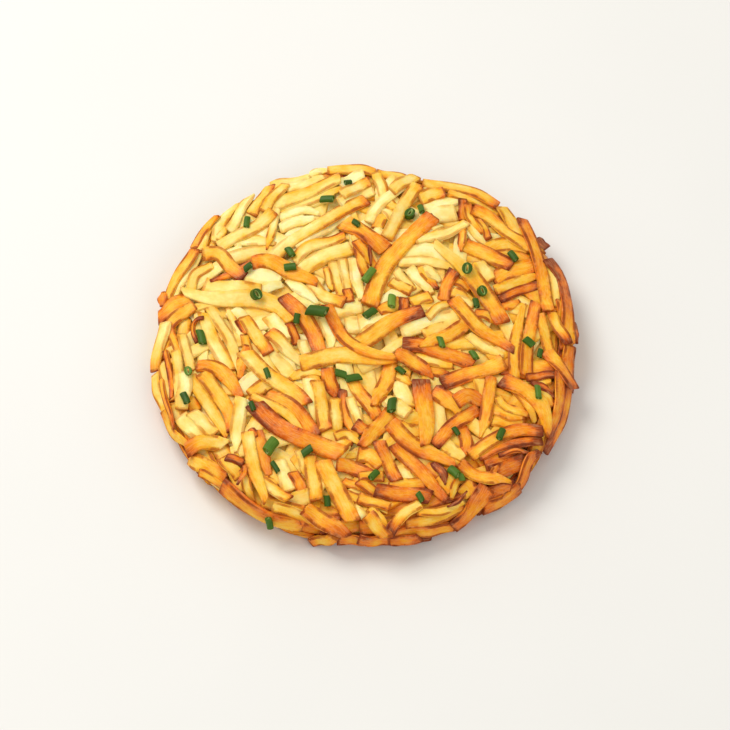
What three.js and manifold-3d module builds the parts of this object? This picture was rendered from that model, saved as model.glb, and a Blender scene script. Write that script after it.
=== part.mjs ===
// A potato rosti: a thick round cake of coarse potato strips, fried on both sides until they
// hold together. It is one body. The cake's flat underside is where it rests, and the strips
// stand proud of its domed top and rounded side, lying over each other in every direction.
// Units are millimetres and +Z is up. The origin is the middle of the flat underside.
import * as THREE from 'three';
import { mergeVertices } from 'three/addons/utils/BufferGeometryUtils.js';
import Module from 'manifold-3d';

// Driving dimensions of the cake, without the strips that stand proud of it.
const CAKE_RADIUS = 92.0;
const CAKE_HEIGHT = 24.0;
const BELLY_HEIGHT = 9.5;        // where the side reaches furthest out
const UNDERCUT = 8.0;            // how far the flat underside stays inside the belly
const DOME_FULLNESS = 3.6;       // 2 is an ellipse, more is a flatter top with a rounder shoulder
const AROUND = 60;               // steps round the cake
const DOWN = 9;                  // steps from the top's middle to the belly
const UNDER = 3;                 // steps from the belly to the underside

// The outline is a circle with a few slow waves, as hands press a cake round in the pan.
const OUTLINE_WAVES = [
  { waves: 2, height: 1.3, crest: 84 },
  { waves: 3, height: 0.6, crest: 40 },
  { waves: 4, height: 0.9, crest: 36 },
  { waves: 5, height: 0.7, crest: -28 },
];

// Driving dimensions of the potato strips, as a coarse grater cuts them.
const STRIP_LENGTH = { least: 30, most: 54 };
const STRIP_WIDTH = { least: 5.5, most: 9.0 };
const STRIP_THICKNESS = { least: 3.0, most: 3.8 };
const STRIP_STEPS = 4;
const END_TAPER = 0.72;          // the width left at a strip's very end
const TAPER_REACH = 0.82;        // how far from the middle the taper begins, 1 is the end
const MOST_BEND = 0.016;         // radians of turn for each millimetre of strip
const UNDERSIDE_CLEARANCE = 1.2; // no strip comes closer than this to the plane it rests on
const PRESSED_THICKNESS = 0.1;   // the share of its thickness a strip keeps where it is held there
const UNEVENNESS = 0.6;          // how much higher one strip of a layer may lie than another

// The layers of strips, from the lowest up. Reach is the distance from the top's middle, along
// the skin, of the nearest and the farthest strip. Proud is how far a strip's middle plane
// stands above the cake. Aim turns a strip from pointing round the cake, 0, to any way, 1.
const LAYERS = [
  { strips: 20, reach: [98, 101], proud: 0.1, aim: 0.12, seed: 46 }, // round the side
  { strips: 24, reach: [80, 93], proud: 0.6, aim: 0.26, seed: 48 },  // over the shoulder
  { strips: 31, reach: [6, 78], proud: 0.7, aim: 1, seed: 52 },      // the bed on top
  { strips: 27, reach: [10, 76], proud: 1.8, aim: 1, seed: 56 },     // the crown over the bed
];

const GOLD = 0xd99a3e;
const GOLDEN_ANGLE = Math.PI * (3 - Math.sqrt(5));
const PROFILE_SAMPLES = 240;
const NORMAL_STEP = 0.5;
const SAME_POINT = 1e-4;
const SHORTEST_DETAIL = 0.05;    // slivers thinner than this, where strips cross, are smoothed

function goldenPotato() {
  return new THREE.MeshStandardMaterial({ color: GOLD, roughness: 0.55, metalness: 0 });
}

// A repeatable source of numbers from 0 to 1, the same for the same seed.
function numbersFrom(seed) {
  let state = seed >>> 0;
  return () => {
    state = (state + 0x6d2b79f5) >>> 0;
    let mixed = Math.imul(state ^ (state >>> 15), 1 | state);
    mixed = (mixed + Math.imul(mixed ^ (mixed >>> 7), 61 | mixed)) ^ mixed;
    return ((mixed ^ (mixed >>> 14)) >>> 0) / 2 ** 32;
  };
}

function between(range, share) {
  return range.least + (range.most - range.least) * share;
}

// The outline's radius in a direction, as a share of the cake's radius.
function outlineShare(angle) {
  let radius = CAKE_RADIUS;
  for (const { waves, height, crest } of OUTLINE_WAVES) {
    radius += height * Math.cos(waves * (angle - THREE.MathUtils.degToRad(crest)));
  }
  return radius / CAKE_RADIUS;
}

// The cake's profile at a turn: 90 degrees is the top's middle, 0 the belly, -90 the underside's
// edge. x is the distance from the axis and y the height.
function profileAt(degrees) {
  const turn = THREE.MathUtils.degToRad(degrees);
  const cosine = Math.max(Math.cos(turn), 0);
  if (degrees >= 0) {
    const rise = CAKE_HEIGHT - BELLY_HEIGHT;
    const reach = CAKE_RADIUS * cosine ** (2 / DOME_FULLNESS);
    return new THREE.Vector2(reach, BELLY_HEIGHT + rise * Math.sin(turn));
  }
  const reach = CAKE_RADIUS - UNDERCUT * (1 - cosine);
  return new THREE.Vector2(reach, BELLY_HEIGHT * (1 + Math.sin(turn)));
}

// The profile as evenly spaced samples with the distance walked along the skin to each.
function walkProfile() {
  const walked = [{ distance: 0, at: profileAt(90) }];
  for (let i = 1; i <= PROFILE_SAMPLES; i += 1) {
    const at = profileAt(90 - (180 * i) / PROFILE_SAMPLES);
    const last = walked[i - 1];
    walked.push({ distance: last.distance + at.distanceTo(last.at), at });
  }
  return walked;
}

const PROFILE = walkProfile();

// The profile's point at a distance along the skin from the top's middle.
function profileAfter(distance) {
  let high = PROFILE.findIndex((sample) => sample.distance >= distance);
  if (high < 0) high = PROFILE.length - 1;
  if (high === 0) return PROFILE[0].at.clone();
  const [before, after] = [PROFILE[high - 1], PROFILE[high]];
  const share = (distance - before.distance) / (after.distance - before.distance);
  return before.at.clone().lerp(after.at, Math.min(share, 1));
}

// A point of the cake's skin. u and v are a flat map of the skin: the direction from the top's
// middle, and the distance walked from it.
function skinPoint(u, v) {
  const angle = Math.atan2(v, u);
  const at = profileAfter(Math.hypot(u, v));
  const radius = at.x * outlineShare(angle);
  return new THREE.Vector3(radius * Math.cos(angle), radius * Math.sin(angle), at.y);
}

function skinNormal(u, v) {
  const across = skinPoint(u + NORMAL_STEP, v).sub(skinPoint(u - NORMAL_STEP, v));
  const along = skinPoint(u, v + NORMAL_STEP).sub(skinPoint(u, v - NORMAL_STEP));
  return across.cross(along).normalize();
}

// The cake without its strips: a turned profile, pushed out to the waving outline.
function cakeGeometry() {
  const profile = [];
  for (let i = 0; i <= DOWN; i += 1) profile.push(profileAt(90 * (1 - i / DOWN)));
  for (let i = 1; i <= UNDER; i += 1) profile.push(profileAt((-90 * i) / UNDER));
  profile[0].x = 0;
  profile.push(new THREE.Vector2(0, 0));
  const cake = new THREE.LatheGeometry(profile.reverse(), AROUND);
  cake.rotateX(Math.PI / 2);
  const place = cake.getAttribute('position');
  for (let i = 0; i < place.count; i += 1) {
    const share = outlineShare(Math.atan2(place.getY(i), place.getX(i)));
    place.setXY(i, place.getX(i) * share, place.getY(i) * share);
  }
  return cake;
}

// Where a strip's centre line is on the flat map, at a distance from the strip's middle.
function along(strip, distance) {
  const turned = strip.heading + strip.bend * distance * 0.5;
  return [strip.u + distance * Math.cos(turned), strip.v + distance * Math.sin(turned)];
}

// One potato strip: a square-cut bar, narrower at its ends, laid over the skin along an arc.
function stripGeometry(strip) {
  const bar = new THREE.BoxGeometry(strip.length, strip.width, strip.thickness, STRIP_STEPS, 1, 1);
  const place = bar.getAttribute('position');
  for (let i = 0; i < place.count; i += 1) {
    const distance = place.getX(i);
    const [u, v] = along(strip, distance);
    const [ahead, side] = along(strip, distance + NORMAL_STEP);
    const centre = skinPoint(u, v);
    const normal = skinNormal(u, v);
    const forward = skinPoint(ahead, side).sub(centre).normalize();
    const sideways = normal.clone().cross(forward).normalize();
    const toEnd = Math.max(Math.abs(distance) / (strip.length / 2) - TAPER_REACH, 0);
    const narrowing = 1 - ((1 - END_TAPER) * toEnd) / (1 - TAPER_REACH);
    centre.addScaledVector(sideways, place.getY(i) * narrowing);
    centre.addScaledVector(normal, place.getZ(i) + strip.proud);
    const lowest = UNDERSIDE_CLEARANCE + place.getZ(i) * PRESSED_THICKNESS;
    place.setXYZ(i, centre.x, centre.y, Math.max(centre.z, lowest));
  }
  return bar;
}

// The strips of one layer, spread evenly over it by the golden angle and then unsettled.
function layerStrips(layer) {
  const next = numbersFrom(layer.seed);
  const strips = [];
  for (let i = 0; i < layer.strips; i += 1) {
    const share = (i + 0.5) / layer.strips;
    const [nearest, farthest] = layer.reach;
    const reach = Math.sqrt(nearest ** 2 + (farthest ** 2 - nearest ** 2) * share);
    const angle = i * GOLDEN_ANGLE + layer.seed;
    strips.push({
      u: reach * Math.cos(angle),
      v: reach * Math.sin(angle),
      heading: angle + Math.PI / 2 + (next() - 0.5) * Math.PI * layer.aim,
      bend: (next() - 0.5) * 2 * MOST_BEND + (1 - layer.aim) / reach,
      length: between(STRIP_LENGTH, next()),
      width: between(STRIP_WIDTH, next()),
      thickness: between(STRIP_THICKNESS, next()),
      proud: layer.proud + next() * UNEVENNESS,
    });
  }
  return strips;
}

const manifold = await Module();
manifold.setup();

function solidFrom(geometry, weldSize) {
  geometry.deleteAttribute('normal');
  geometry.deleteAttribute('uv');
  const merged = mergeVertices(geometry, weldSize);
  const vertProperties = Float32Array.from(merged.getAttribute('position').array);
  const triVerts = Uint32Array.from(withoutSlivers(merged.index.array));
  return new manifold.Manifold(new manifold.Mesh({ numProp: 3, vertProperties, triVerts }));
}

// The triangles that still have three different corners after their points were merged.
function withoutSlivers(corners) {
  const kept = [];
  for (let i = 0; i < corners.length; i += 3) {
    const [a, b, c] = corners.slice(i, i + 3);
    if (a !== b && b !== c && c !== a) kept.push(a, b, c);
  }
  return kept;
}

function geometryFrom(solid) {
  const mesh = solid.getMesh();
  const geometry = new THREE.BufferGeometry();
  geometry.setAttribute('position', new THREE.BufferAttribute(mesh.vertProperties, 3));
  geometry.setIndex(new THREE.BufferAttribute(mesh.triVerts, 1));
  geometry.computeVertexNormals();
  return geometry;
}

// The outer skin of a solid alone, so that pockets shut in under crossing strips are filled.
function outerSkin(solid) {
  return solid.decompose().reduce((most, piece) => (piece.volume() > most.volume() ? piece : most));
}

// The whole cake as one body: every strip is joined to the cake that it is pressed into.
function rostiGeometry() {
  let solid = solidFrom(cakeGeometry(), SAME_POINT);
  for (const strip of LAYERS.flatMap(layerStrips)) {
    solid = solid.add(solidFrom(stripGeometry(strip), SAME_POINT));
  }
  const smoothed = solid.asOriginal().simplify(SHORTEST_DETAIL);
  return geometryFrom(outerSkin(solidFrom(geometryFrom(smoothed), SHORTEST_DETAIL)));
}

function rosti() {
  const geometry = rostiGeometry();
  geometry.computeBoundingBox();
  const middle = geometry.boundingBox.getCenter(new THREE.Vector3());
  geometry.translate(-middle.x, -middle.y, -geometry.boundingBox.min.z);
  const mesh = new THREE.Mesh(geometry, goldenPotato());
  mesh.name = 'rosti';
  return mesh;
}

const part = new THREE.Group();
part.add(rosti());

export default part;
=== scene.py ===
# %% [markdown]
# # A potato rosti
# A rosti is coarsely grated potato, pressed round in a pan and fried on both sides until it holds
# together. What the eye sees is a heap of strips: each lies over its neighbours, bends where it
# crosses them, and is toasted along its edges and at its tips. One lump with a rough surface would
# look like dough, so this lesson builds the cake as a cook does: a soft body, strips laid on it
# one after another, and cut chives scattered on top.

# %% Load the frame
import math

import bpy
import numpy as np
from mathutils import Color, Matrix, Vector
from mathutils.bvhtree import BVHTree
from mathutils.geometry import barycentric_transform


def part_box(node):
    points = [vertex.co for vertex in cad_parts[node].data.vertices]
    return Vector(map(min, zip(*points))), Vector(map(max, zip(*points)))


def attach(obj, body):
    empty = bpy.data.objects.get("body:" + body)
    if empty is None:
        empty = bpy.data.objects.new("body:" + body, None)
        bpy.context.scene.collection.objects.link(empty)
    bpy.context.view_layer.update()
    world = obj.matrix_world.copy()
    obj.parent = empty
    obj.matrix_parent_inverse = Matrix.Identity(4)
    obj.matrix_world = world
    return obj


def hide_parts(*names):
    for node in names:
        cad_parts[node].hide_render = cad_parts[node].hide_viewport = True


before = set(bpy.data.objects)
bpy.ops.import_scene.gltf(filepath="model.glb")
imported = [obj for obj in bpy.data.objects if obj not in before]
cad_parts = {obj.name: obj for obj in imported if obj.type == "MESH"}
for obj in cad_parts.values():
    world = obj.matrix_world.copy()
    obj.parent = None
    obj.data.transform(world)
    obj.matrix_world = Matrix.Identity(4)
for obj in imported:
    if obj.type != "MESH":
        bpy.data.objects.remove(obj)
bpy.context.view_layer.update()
MM = 0.001
cake_low, cake_high = (np.array(corner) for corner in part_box("rosti"))
cake_size = cake_high - cake_low
print("the cake in mm:", np.round(cake_size / MM, 1))

# %% [markdown]
# ## The camera
# The cake is seen from in front and well above, as by a guest who bends over the table. A short
# lens close by would make the near rim look bigger than the far one, so a long lens from far off
# is used. Its distance follows from the width of one picture point at the cake, which a dinner
# plate's width gives.

# %% Camera
PICTURE_POINTS = 730
PLATE_WIDTH = 260 * MM
PLATE_POINTS = 602
POINT = PLATE_WIDTH / PLATE_POINTS
MIDDLE_POINT = np.array((363.5, 352.0))
LOOK_DOWN = math.radians(58)
AIM_SHARE = 0.45
LENS = 320.0
SENSOR = 36.0
SIGHT = 20

view_ahead = np.array((0, math.cos(LOOK_DOWN), -math.sin(LOOK_DOWN)))
view_right = np.array((1.0, 0, 0))
view_up = np.cross(view_right, view_ahead)
camera_distance = POINT * PICTURE_POINTS * LENS / SENSOR
off_centre = (MIDDLE_POINT - PICTURE_POINTS / 2) * POINT
aim = np.array((0, 0, AIM_SHARE * cake_size[2]))
camera_place = aim - view_ahead * camera_distance
camera_place = camera_place - view_right * off_centre[0] + view_up * off_centre[1]

camera_data = bpy.data.cameras.new("camera")
camera_data.lens = LENS
camera_data.sensor_width = SENSOR
camera_data.clip_end = SIGHT
camera = bpy.data.objects.new("camera", camera_data)
camera.location = camera_place
camera.rotation_euler = (math.pi / 2 - LOOK_DOWN, 0, 0)
bpy.context.scene.collection.objects.link(camera)
bpy.context.scene.camera = camera
print("camera", round(camera_distance, 3), "m away, a picture point is", round(POINT / MM, 3), "mm")


# %% Between the picture and space
def point_ray(point):
    """The direction from the camera through a point of the picture."""
    right, down = (np.array(point) - PICTURE_POINTS / 2) * SENSOR / (PICTURE_POINTS * LENS)
    return view_ahead + right * view_right - down * view_up


def picture_point(place):
    """The point of the picture at which a place in space is seen."""
    way = place - camera_place
    right = way @ view_right / (way @ view_ahead)
    down = -(way @ view_up) / (way @ view_ahead)
    return np.array((right, down)) * PICTURE_POINTS * LENS / SENSOR + PICTURE_POINTS / 2


print("the cake's middle is seen at", np.round(picture_point(aim), 1))

# %% [markdown]
# ## The light
# One large soft lamp stands up on the left, behind the cake, so each strip is brighter on its
# upper left side and throws a soft shadow to the lower right. A second one from the front right
# keeps the near side from going dark. A bright pale surround fills the gaps, because the deep
# strips of a fresh rosti glow rather than go black.

# %% Lamps and surround
LAMPS = (
    # name, place and width in metres, watts, colour
    ("key_lamp", (-0.66, 0.5, 1.15), 0.9, 11.8, (1.0, 0.98, 0.94)),
    ("fill_lamp", (0.6, -1.1, 1.0), 1.2, 4, (1.0, 0.98, 0.95)),
)
SURROUND_COLOUR = (1, 0.99, 0.97, 1)
SURROUND_STRENGTH = 0.64


def soft_lamp(name, place, width, watts, colour):
    """A round lamp that shines at the cake."""
    data = bpy.data.lights.new(name, "AREA")
    data.shape = "DISK"
    data.size = width
    data.energy = watts
    data.color = colour
    lamp = bpy.data.objects.new(name, data)
    lamp.location = place
    lamp.rotation_euler = (Vector(place) * -1).to_track_quat("-Z", "Y").to_euler()
    bpy.context.scene.collection.objects.link(lamp)


for row in LAMPS:
    soft_lamp(*row)

surround = bpy.data.worlds.new("surround")
surround.use_nodes = True
surround_light = surround.node_tree.nodes["Background"]
surround_light.inputs["Color"].default_value = SURROUND_COLOUR
surround_light.inputs["Strength"].default_value = SURROUND_STRENGTH
bpy.context.scene.world = surround
bpy.context.scene.view_settings.view_transform = "Standard"
print(len(LAMPS), "lamps and a surround of strength", SURROUND_STRENGTH)

# %% [markdown]
# ## A small language for materials
# A material is a recipe of nodes. Written out node by node it hides what it says, so one class
# wraps a node's output and lets it be added, multiplied and subtracted like a number, and another
# adds any other node. Colours are written as they are seen and turned into light values once.

# %% Values in a shader
COLOUR_STEPS = 255


def seen(red, green, blue):
    """A colour as the eye sees it, from 0 to 255, as the light values a shader works in."""
    shares = Color((red / COLOUR_STEPS, green / COLOUR_STEPS, blue / COLOUR_STEPS))
    return (*shares.from_srgb_to_scene_linear(), 1.0)


class Value:
    """One output of a node. Arithmetic on it adds Math nodes."""

    def __init__(self, recipe, socket):
        self.recipe = recipe
        self.socket = socket

    def maths(self, operation, *terms):
        return self.recipe.add("ShaderNodeMath", dict(enumerate((self, *terms))), operation=operation)

    def __add__(self, other):
        return self.maths("ADD", other)

    def __sub__(self, other):
        return self.maths("SUBTRACT", other)

    def __mul__(self, other):
        return self.maths("MULTIPLY", other)

    def __truediv__(self, other):
        return self.maths("DIVIDE", other)

    def __pow__(self, other):
        return self.maths("POWER", other)

    def size(self):
        return self.maths("ABSOLUTE")

    def most(self, other):
        return self.maths("MAXIMUM", other)


# %% Recipes for materials
class Recipe:
    """A material under construction."""

    def __init__(self, name):
        self.material = bpy.data.materials.new(name)
        self.material.use_nodes = True
        self.tree = self.material.node_tree
        self.tree.nodes.clear()

    def add(self, kind, sockets=None, out=0, **settings):
        """Adds a node: its settings first, then the values or links of its sockets."""
        node = self.tree.nodes.new(kind)
        for name, setting in settings.items():
            setattr(node, name, setting)
        for name, term in (sockets or {}).items():
            if isinstance(term, Value):
                self.tree.links.new(term.socket, node.inputs[name])
            else:
                node.inputs[name].default_value = term
        return Value(self, node.outputs[out])

    def attribute(self, name):
        return self.add("ShaderNodeAttribute", out="Vector", attribute_name=name)

    def parts(self, vector):
        """The three numbers of a vector."""
        node = self.add("ShaderNodeSeparateXYZ", {0: vector}).socket.node
        return [Value(self, output) for output in node.outputs]

    def vector(self, x, y, z):
        return self.add("ShaderNodeCombineXYZ", {0: x, 1: y, 2: z})

    def step(self, value, start, end, low=0.0, high=1.0):
        """A smooth step from low to high as the value goes from start to end."""
        sockets = {"Value": value, "From Min": start, "From Max": end, "To Min": low, "To Max": high}
        return self.add("ShaderNodeMapRange", sockets, interpolation_type="SMOOTHSTEP")

    def noise(self, place, scale, detail=2.0, roughness=0.5):
        sockets = {"Vector": place, "Scale": scale, "Detail": detail, "Roughness": roughness}
        return self.add("ShaderNodeTexNoise", sockets)

    def blend(self, share, first, second):
        """One colour over another. The mix node has its colour sockets at 6 and 7, out at 2."""
        return self.add("ShaderNodeMix", {0: share, 6: first, 7: second}, out=2, data_type="RGBA")

    def ramp(self, stops, place):
        """A colour from a row of stops, each a place from 0 to 1 and the colour there."""
        colour = self.add("ShaderNodeValToRGB", {"Fac": place})
        elements = colour.socket.node.color_ramp.elements
        while len(elements) < len(stops):
            elements.new(0.5)
        for element, (position, shade) in zip(elements, stops):
            element.position = position
            element.color = shade
        return colour

    def relief(self, height, strength, distance):
        return self.add("ShaderNodeBump", {"Strength": strength, "Distance": distance, "Height": height})

    def finish(self, surface):
        """The material, with the values and links of its surface."""
        shader = self.add("ShaderNodeBsdfPrincipled", surface)
        output = self.tree.nodes.new("ShaderNodeOutputMaterial")
        self.tree.links.new(shader.socket, output.inputs["Surface"])
        return self.material


# %% [markdown]
# ## The floor
# A plain pale table, a little warm, so that the cake's shadow shows and nothing competes with it.
# It lies a hair lower than the cake, because two surfaces in one plane would flicker.

# %% Floor
FLOOR_SIZE = 6.0
FLOOR_DROP = 0.15 * MM
TABLE_SHADES = (seen(232, 231, 227), seen(236, 235, 231))
TABLE_MOTTLES = 9.0
TABLE_FINISH = {"Roughness": 0.6, "Specular IOR Level": 0.25}


def pale_table(name):
    recipe = Recipe(name)
    mottle = recipe.noise(recipe.add("ShaderNodeTexCoord", out="Object"), TABLE_MOTTLES)
    return recipe.finish({"Base Color": recipe.blend(mottle, *TABLE_SHADES), **TABLE_FINISH})


bpy.ops.object.select_all(action="DESELECT")
bpy.ops.mesh.primitive_plane_add(size=FLOOR_SIZE, location=(0, 0, -FLOOR_DROP))
floor = bpy.context.object
floor.name = "floor"
bpy.ops.object.transform_apply(location=True, rotation=True, scale=True)
floor.data.materials.append(pale_table("pale_table"))
print("floor", round(FLOOR_DROP / MM, 2), "mm under the cake")

# %% [markdown]
# ## The cake's skin
# Every strip lies on the cake, so the cake's skin comes first, as a function. Its profile is a
# flat dome with a round side that turns under. Its outline is a circle with a few slow waves. A
# place on it is given on a flat map: the direction from the top's middle, and the distance walked
# over the skin. The skin lies under the strips, so it is smaller than the finished cake.

# %% Profile of the skin
PILE_ON_TOP = 12.3 * MM
PILE_ON_SIDE = 5.6 * MM
BELLY = 10.0 * MM
UNDERCUT = 7.0 * MM
DOME_FULLNESS = 3.4
PROFILE_POINTS = 400

skin_radius = (cake_size[0] + cake_size[1]) / 4 - PILE_ON_SIDE
skin_height = cake_size[2] - PILE_ON_TOP
profile_turns = np.linspace(math.pi / 2, -math.pi / 2, PROFILE_POINTS)
reach_above = np.clip(np.cos(profile_turns), 0, 1) ** (2 / DOME_FULLNESS) * skin_radius
reach_below = skin_radius - UNDERCUT * (1 - np.cos(profile_turns))
profile_reach = np.where(profile_turns >= 0, reach_above, reach_below)
rise_above = BELLY + (skin_height - BELLY) * np.sin(profile_turns)
rise_below = BELLY * (1 + np.sin(profile_turns))
profile_rise = np.where(profile_turns >= 0, rise_above, rise_below)
profile_steps = np.hypot(np.diff(profile_reach), np.diff(profile_rise))
profile_walk = np.concatenate(([0.0], np.cumsum(profile_steps)))
print("walk over the skin to its underside in mm:", round(profile_walk[-1] / MM, 1))

# %% Skin of the cake
OUTLINE_WAVES = (
    # waves round the cake, height in mm, direction of a crest in degrees
    (1, 2.0, 58), (2, 1.4, 76), (3, 0.5, 28), (4, 1.0, 37), (5, 0.45, -30),
)
NORMAL_STEP = 0.4 * MM
TINY = 1e-12


def outline_share(angle):
    """The outline's distance from the middle, as a share of the skin's radius."""
    share = np.ones_like(angle)
    for waves, height, crest in OUTLINE_WAVES:
        share = share + height * MM / skin_radius * np.cos(waves * (angle - math.radians(crest)))
    return share


def skin(places):
    """Points of the skin for places on the flat map, an array with u and v last."""
    angle = np.arctan2(places[..., 1], places[..., 0])
    walk = np.hypot(places[..., 0], places[..., 1])
    reach = np.interp(walk, profile_walk, profile_reach) * outline_share(angle)
    rise = np.interp(walk, profile_walk, profile_rise)
    return np.stack((reach * np.cos(angle), reach * np.sin(angle), rise), axis=-1)


def unit(vectors):
    return vectors / np.maximum(np.linalg.norm(vectors, axis=-1, keepdims=True), TINY)


def skin_normal(places):
    step_u = np.array((NORMAL_STEP, 0.0))
    step_v = np.array((0.0, NORMAL_STEP))
    along_u = skin(places + step_u) - skin(places - step_u)
    along_v = skin(places + step_v) - skin(places - step_v)
    return unit(np.cross(along_u, along_v))


# %% [markdown]
# ## From the picture to the cake
# A strip that is placed one by one is named by points of the picture. A ray from the camera through
# such a point meets the cake's crust, and the place on the map is read off there. The crust is
# the skin lifted by the usual height of the strips, so that the strips land near where they are
# seen. It is kept as triangles, because a ray finds the triangle it meets quickly.

# %% Places from picture points
CRUST = 5.5 * MM
RINGS = 70
SPOKES = 120
FIRST_RING = 0.5 * MM
UNDER_LIP = 2 * MM
INWARD_SHARE = 0.01

skin_end = profile_walk[-1] - UNDER_LIP


def crust_shell():
    """The crust's corners on the flat map and in space, and its triangles."""
    walk = np.linspace(FIRST_RING, skin_end, RINGS)
    angle = np.linspace(0, 2 * math.pi, SPOKES, endpoint=False)
    flat = np.stack((np.outer(walk, np.cos(angle)), np.outer(walk, np.sin(angle))), axis=-1)
    flat = flat.reshape(-1, 2)
    solid = skin(flat) + skin_normal(flat) * CRUST
    faces = []
    for ring in range(RINGS - 1):
        for spoke in range(SPOKES):
            a = ring * SPOKES + spoke
            b = ring * SPOKES + (spoke + 1) % SPOKES
            faces += [(a, a + SPOKES, b), (b, a + SPOKES, b + SPOKES)]
    return flat, [Vector(p) for p in solid], faces


shell_flat, shell_solid, shell_faces = crust_shell()
shell_tree = BVHTree.FromPolygons(shell_solid, shell_faces)


def place_at(point):
    """The place on the flat map that a point of the picture shows. A point that misses the
    cake is moved in until its ray meets the crust."""
    point = np.array(point, dtype=float)
    while True:
        hit, _, face, _ = shell_tree.ray_cast(Vector(camera_place), Vector(point_ray(point)))
        if hit is not None:
            break
        point = point + (MIDDLE_POINT - point) * INWARD_SHARE
    corners = shell_faces[face]
    flat = [Vector((*shell_flat[i], 0)) for i in corners]
    solid = [shell_solid[i] for i in corners]
    return np.array(barycentric_transform(hit, *solid, *flat))[:2]


print("the middle point shows the map's", np.round(place_at(MIDDLE_POINT) / MM, 1), "mm")

# %% [markdown]
# ## The pile
# Strips rest on strips. Letting them fall as hard bodies would leave them stiff and in heaps that
# nobody chose, so the pile is a map instead, of how high the strips already stand above the skin.
# A new strip reads it, and then raises it itself.

# %% The pile of strips
CELL = 0.5 * MM
PILE_REACH = 130 * MM


class Pile:
    """Heights above the skin on the flat map."""

    def __init__(self):
        count = int(2 * PILE_REACH / CELL) + 1
        self.heights = np.zeros((count, count))

    def cells(self, places):
        found = np.rint((places + PILE_REACH) / CELL).astype(int)
        return tuple(np.clip(np.moveaxis(found, -1, 0), 0, len(self.heights) - 1))

    def feel(self, places):
        return self.heights[self.cells(places)]

    def build_up(self, places, heights):
        np.maximum.at(self.heights, self.cells(places), heights)


pile = Pile()
print("the pile's map has", pile.heights.size, "cells")

# %% Lines on the map
WALK_PARTS = 12


def soften(values, rounds=1):
    """A line of numbers, each drawn towards its neighbours."""
    for _ in range(rounds):
        padded = np.concatenate((values[:1], values, values[-1:]))
        values = (padded[:-2] + 2 * padded[1:-1] + padded[2:]) / 4
    return values


def walked(points):
    """The distance walked along a line, at each of its points."""
    return np.concatenate(([0.0], np.cumsum(np.linalg.norm(np.diff(points, axis=0), axis=1))))


def rounded(points):
    """A line through points that leaves each one on the slope it arrives on: cubic curves."""
    walk = walked(points)
    slopes = np.gradient(points, walk, axis=0)
    t = np.linspace(0, 1, WALK_PARTS + 1)[:, None]
    curves = []
    for i in range(len(points) - 1):
        span = walk[i + 1] - walk[i]
        leaving = (2 * t**3 - 3 * t**2 + 1) * points[i] + (t**3 - 2 * t**2 + t) * span * slopes[i]
        arriving = (3 * t**2 - 2 * t**3) * points[i + 1] + (t**3 - t**2) * span * slopes[i + 1]
        curves.append(leaving + arriving)
    return np.concatenate(curves)


def smooth_path(points, count):
    """A curve through points of the map, at even steps."""
    points = np.asarray(points, dtype=float)
    if len(points) > 2:
        points = rounded(points)
    walk = walked(points)
    even = np.linspace(0, walk[-1], count)
    return np.stack([np.interp(even, walk, points[:, i]) for i in range(2)], axis=1)


def at_shares(shares, line):
    """A line of points, directions or numbers, read at shares of its length."""
    stations = np.linspace(0, 1, len(line))
    return np.stack([np.interp(shares, stations, column) for column in line.T], axis=1)


# %% [markdown]
# ## A strip at rest
# A cooked strip is soft. It settles on what lies under it, presses in a little, bends over what it
# crosses and leans to the side that lies lower. So a new strip feels the pile along its line and
# to both sides. What it feels, smoothed and held up by the high spots, is the line it settles on,
# so no strip hangs in the air and none sinks through another. Where the round skin falls away
# under a flat strip, the gap counts as depth. Laid in this way, hundreds of strips weave into a
# crust.

# %% Rest on the pile
STATIONS = 28
FEELERS = 7
FEELER_SPREAD = 0.46
SOFTNESS = 16
MOST_LEAN = 0.45
BED_SHARE = 75
PRESSED_SHARE = 0.52
CELL_FILL = 1.5


def gap_under(path, across, places, reach):
    """How far the round skin falls away under a flat strip, at places beside its middle line."""
    flat = skin(path)[:, None] + across[:, None] * reach[None, :, None]
    return ((flat - skin(places)) * skin_normal(places)).sum(axis=-1)


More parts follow.
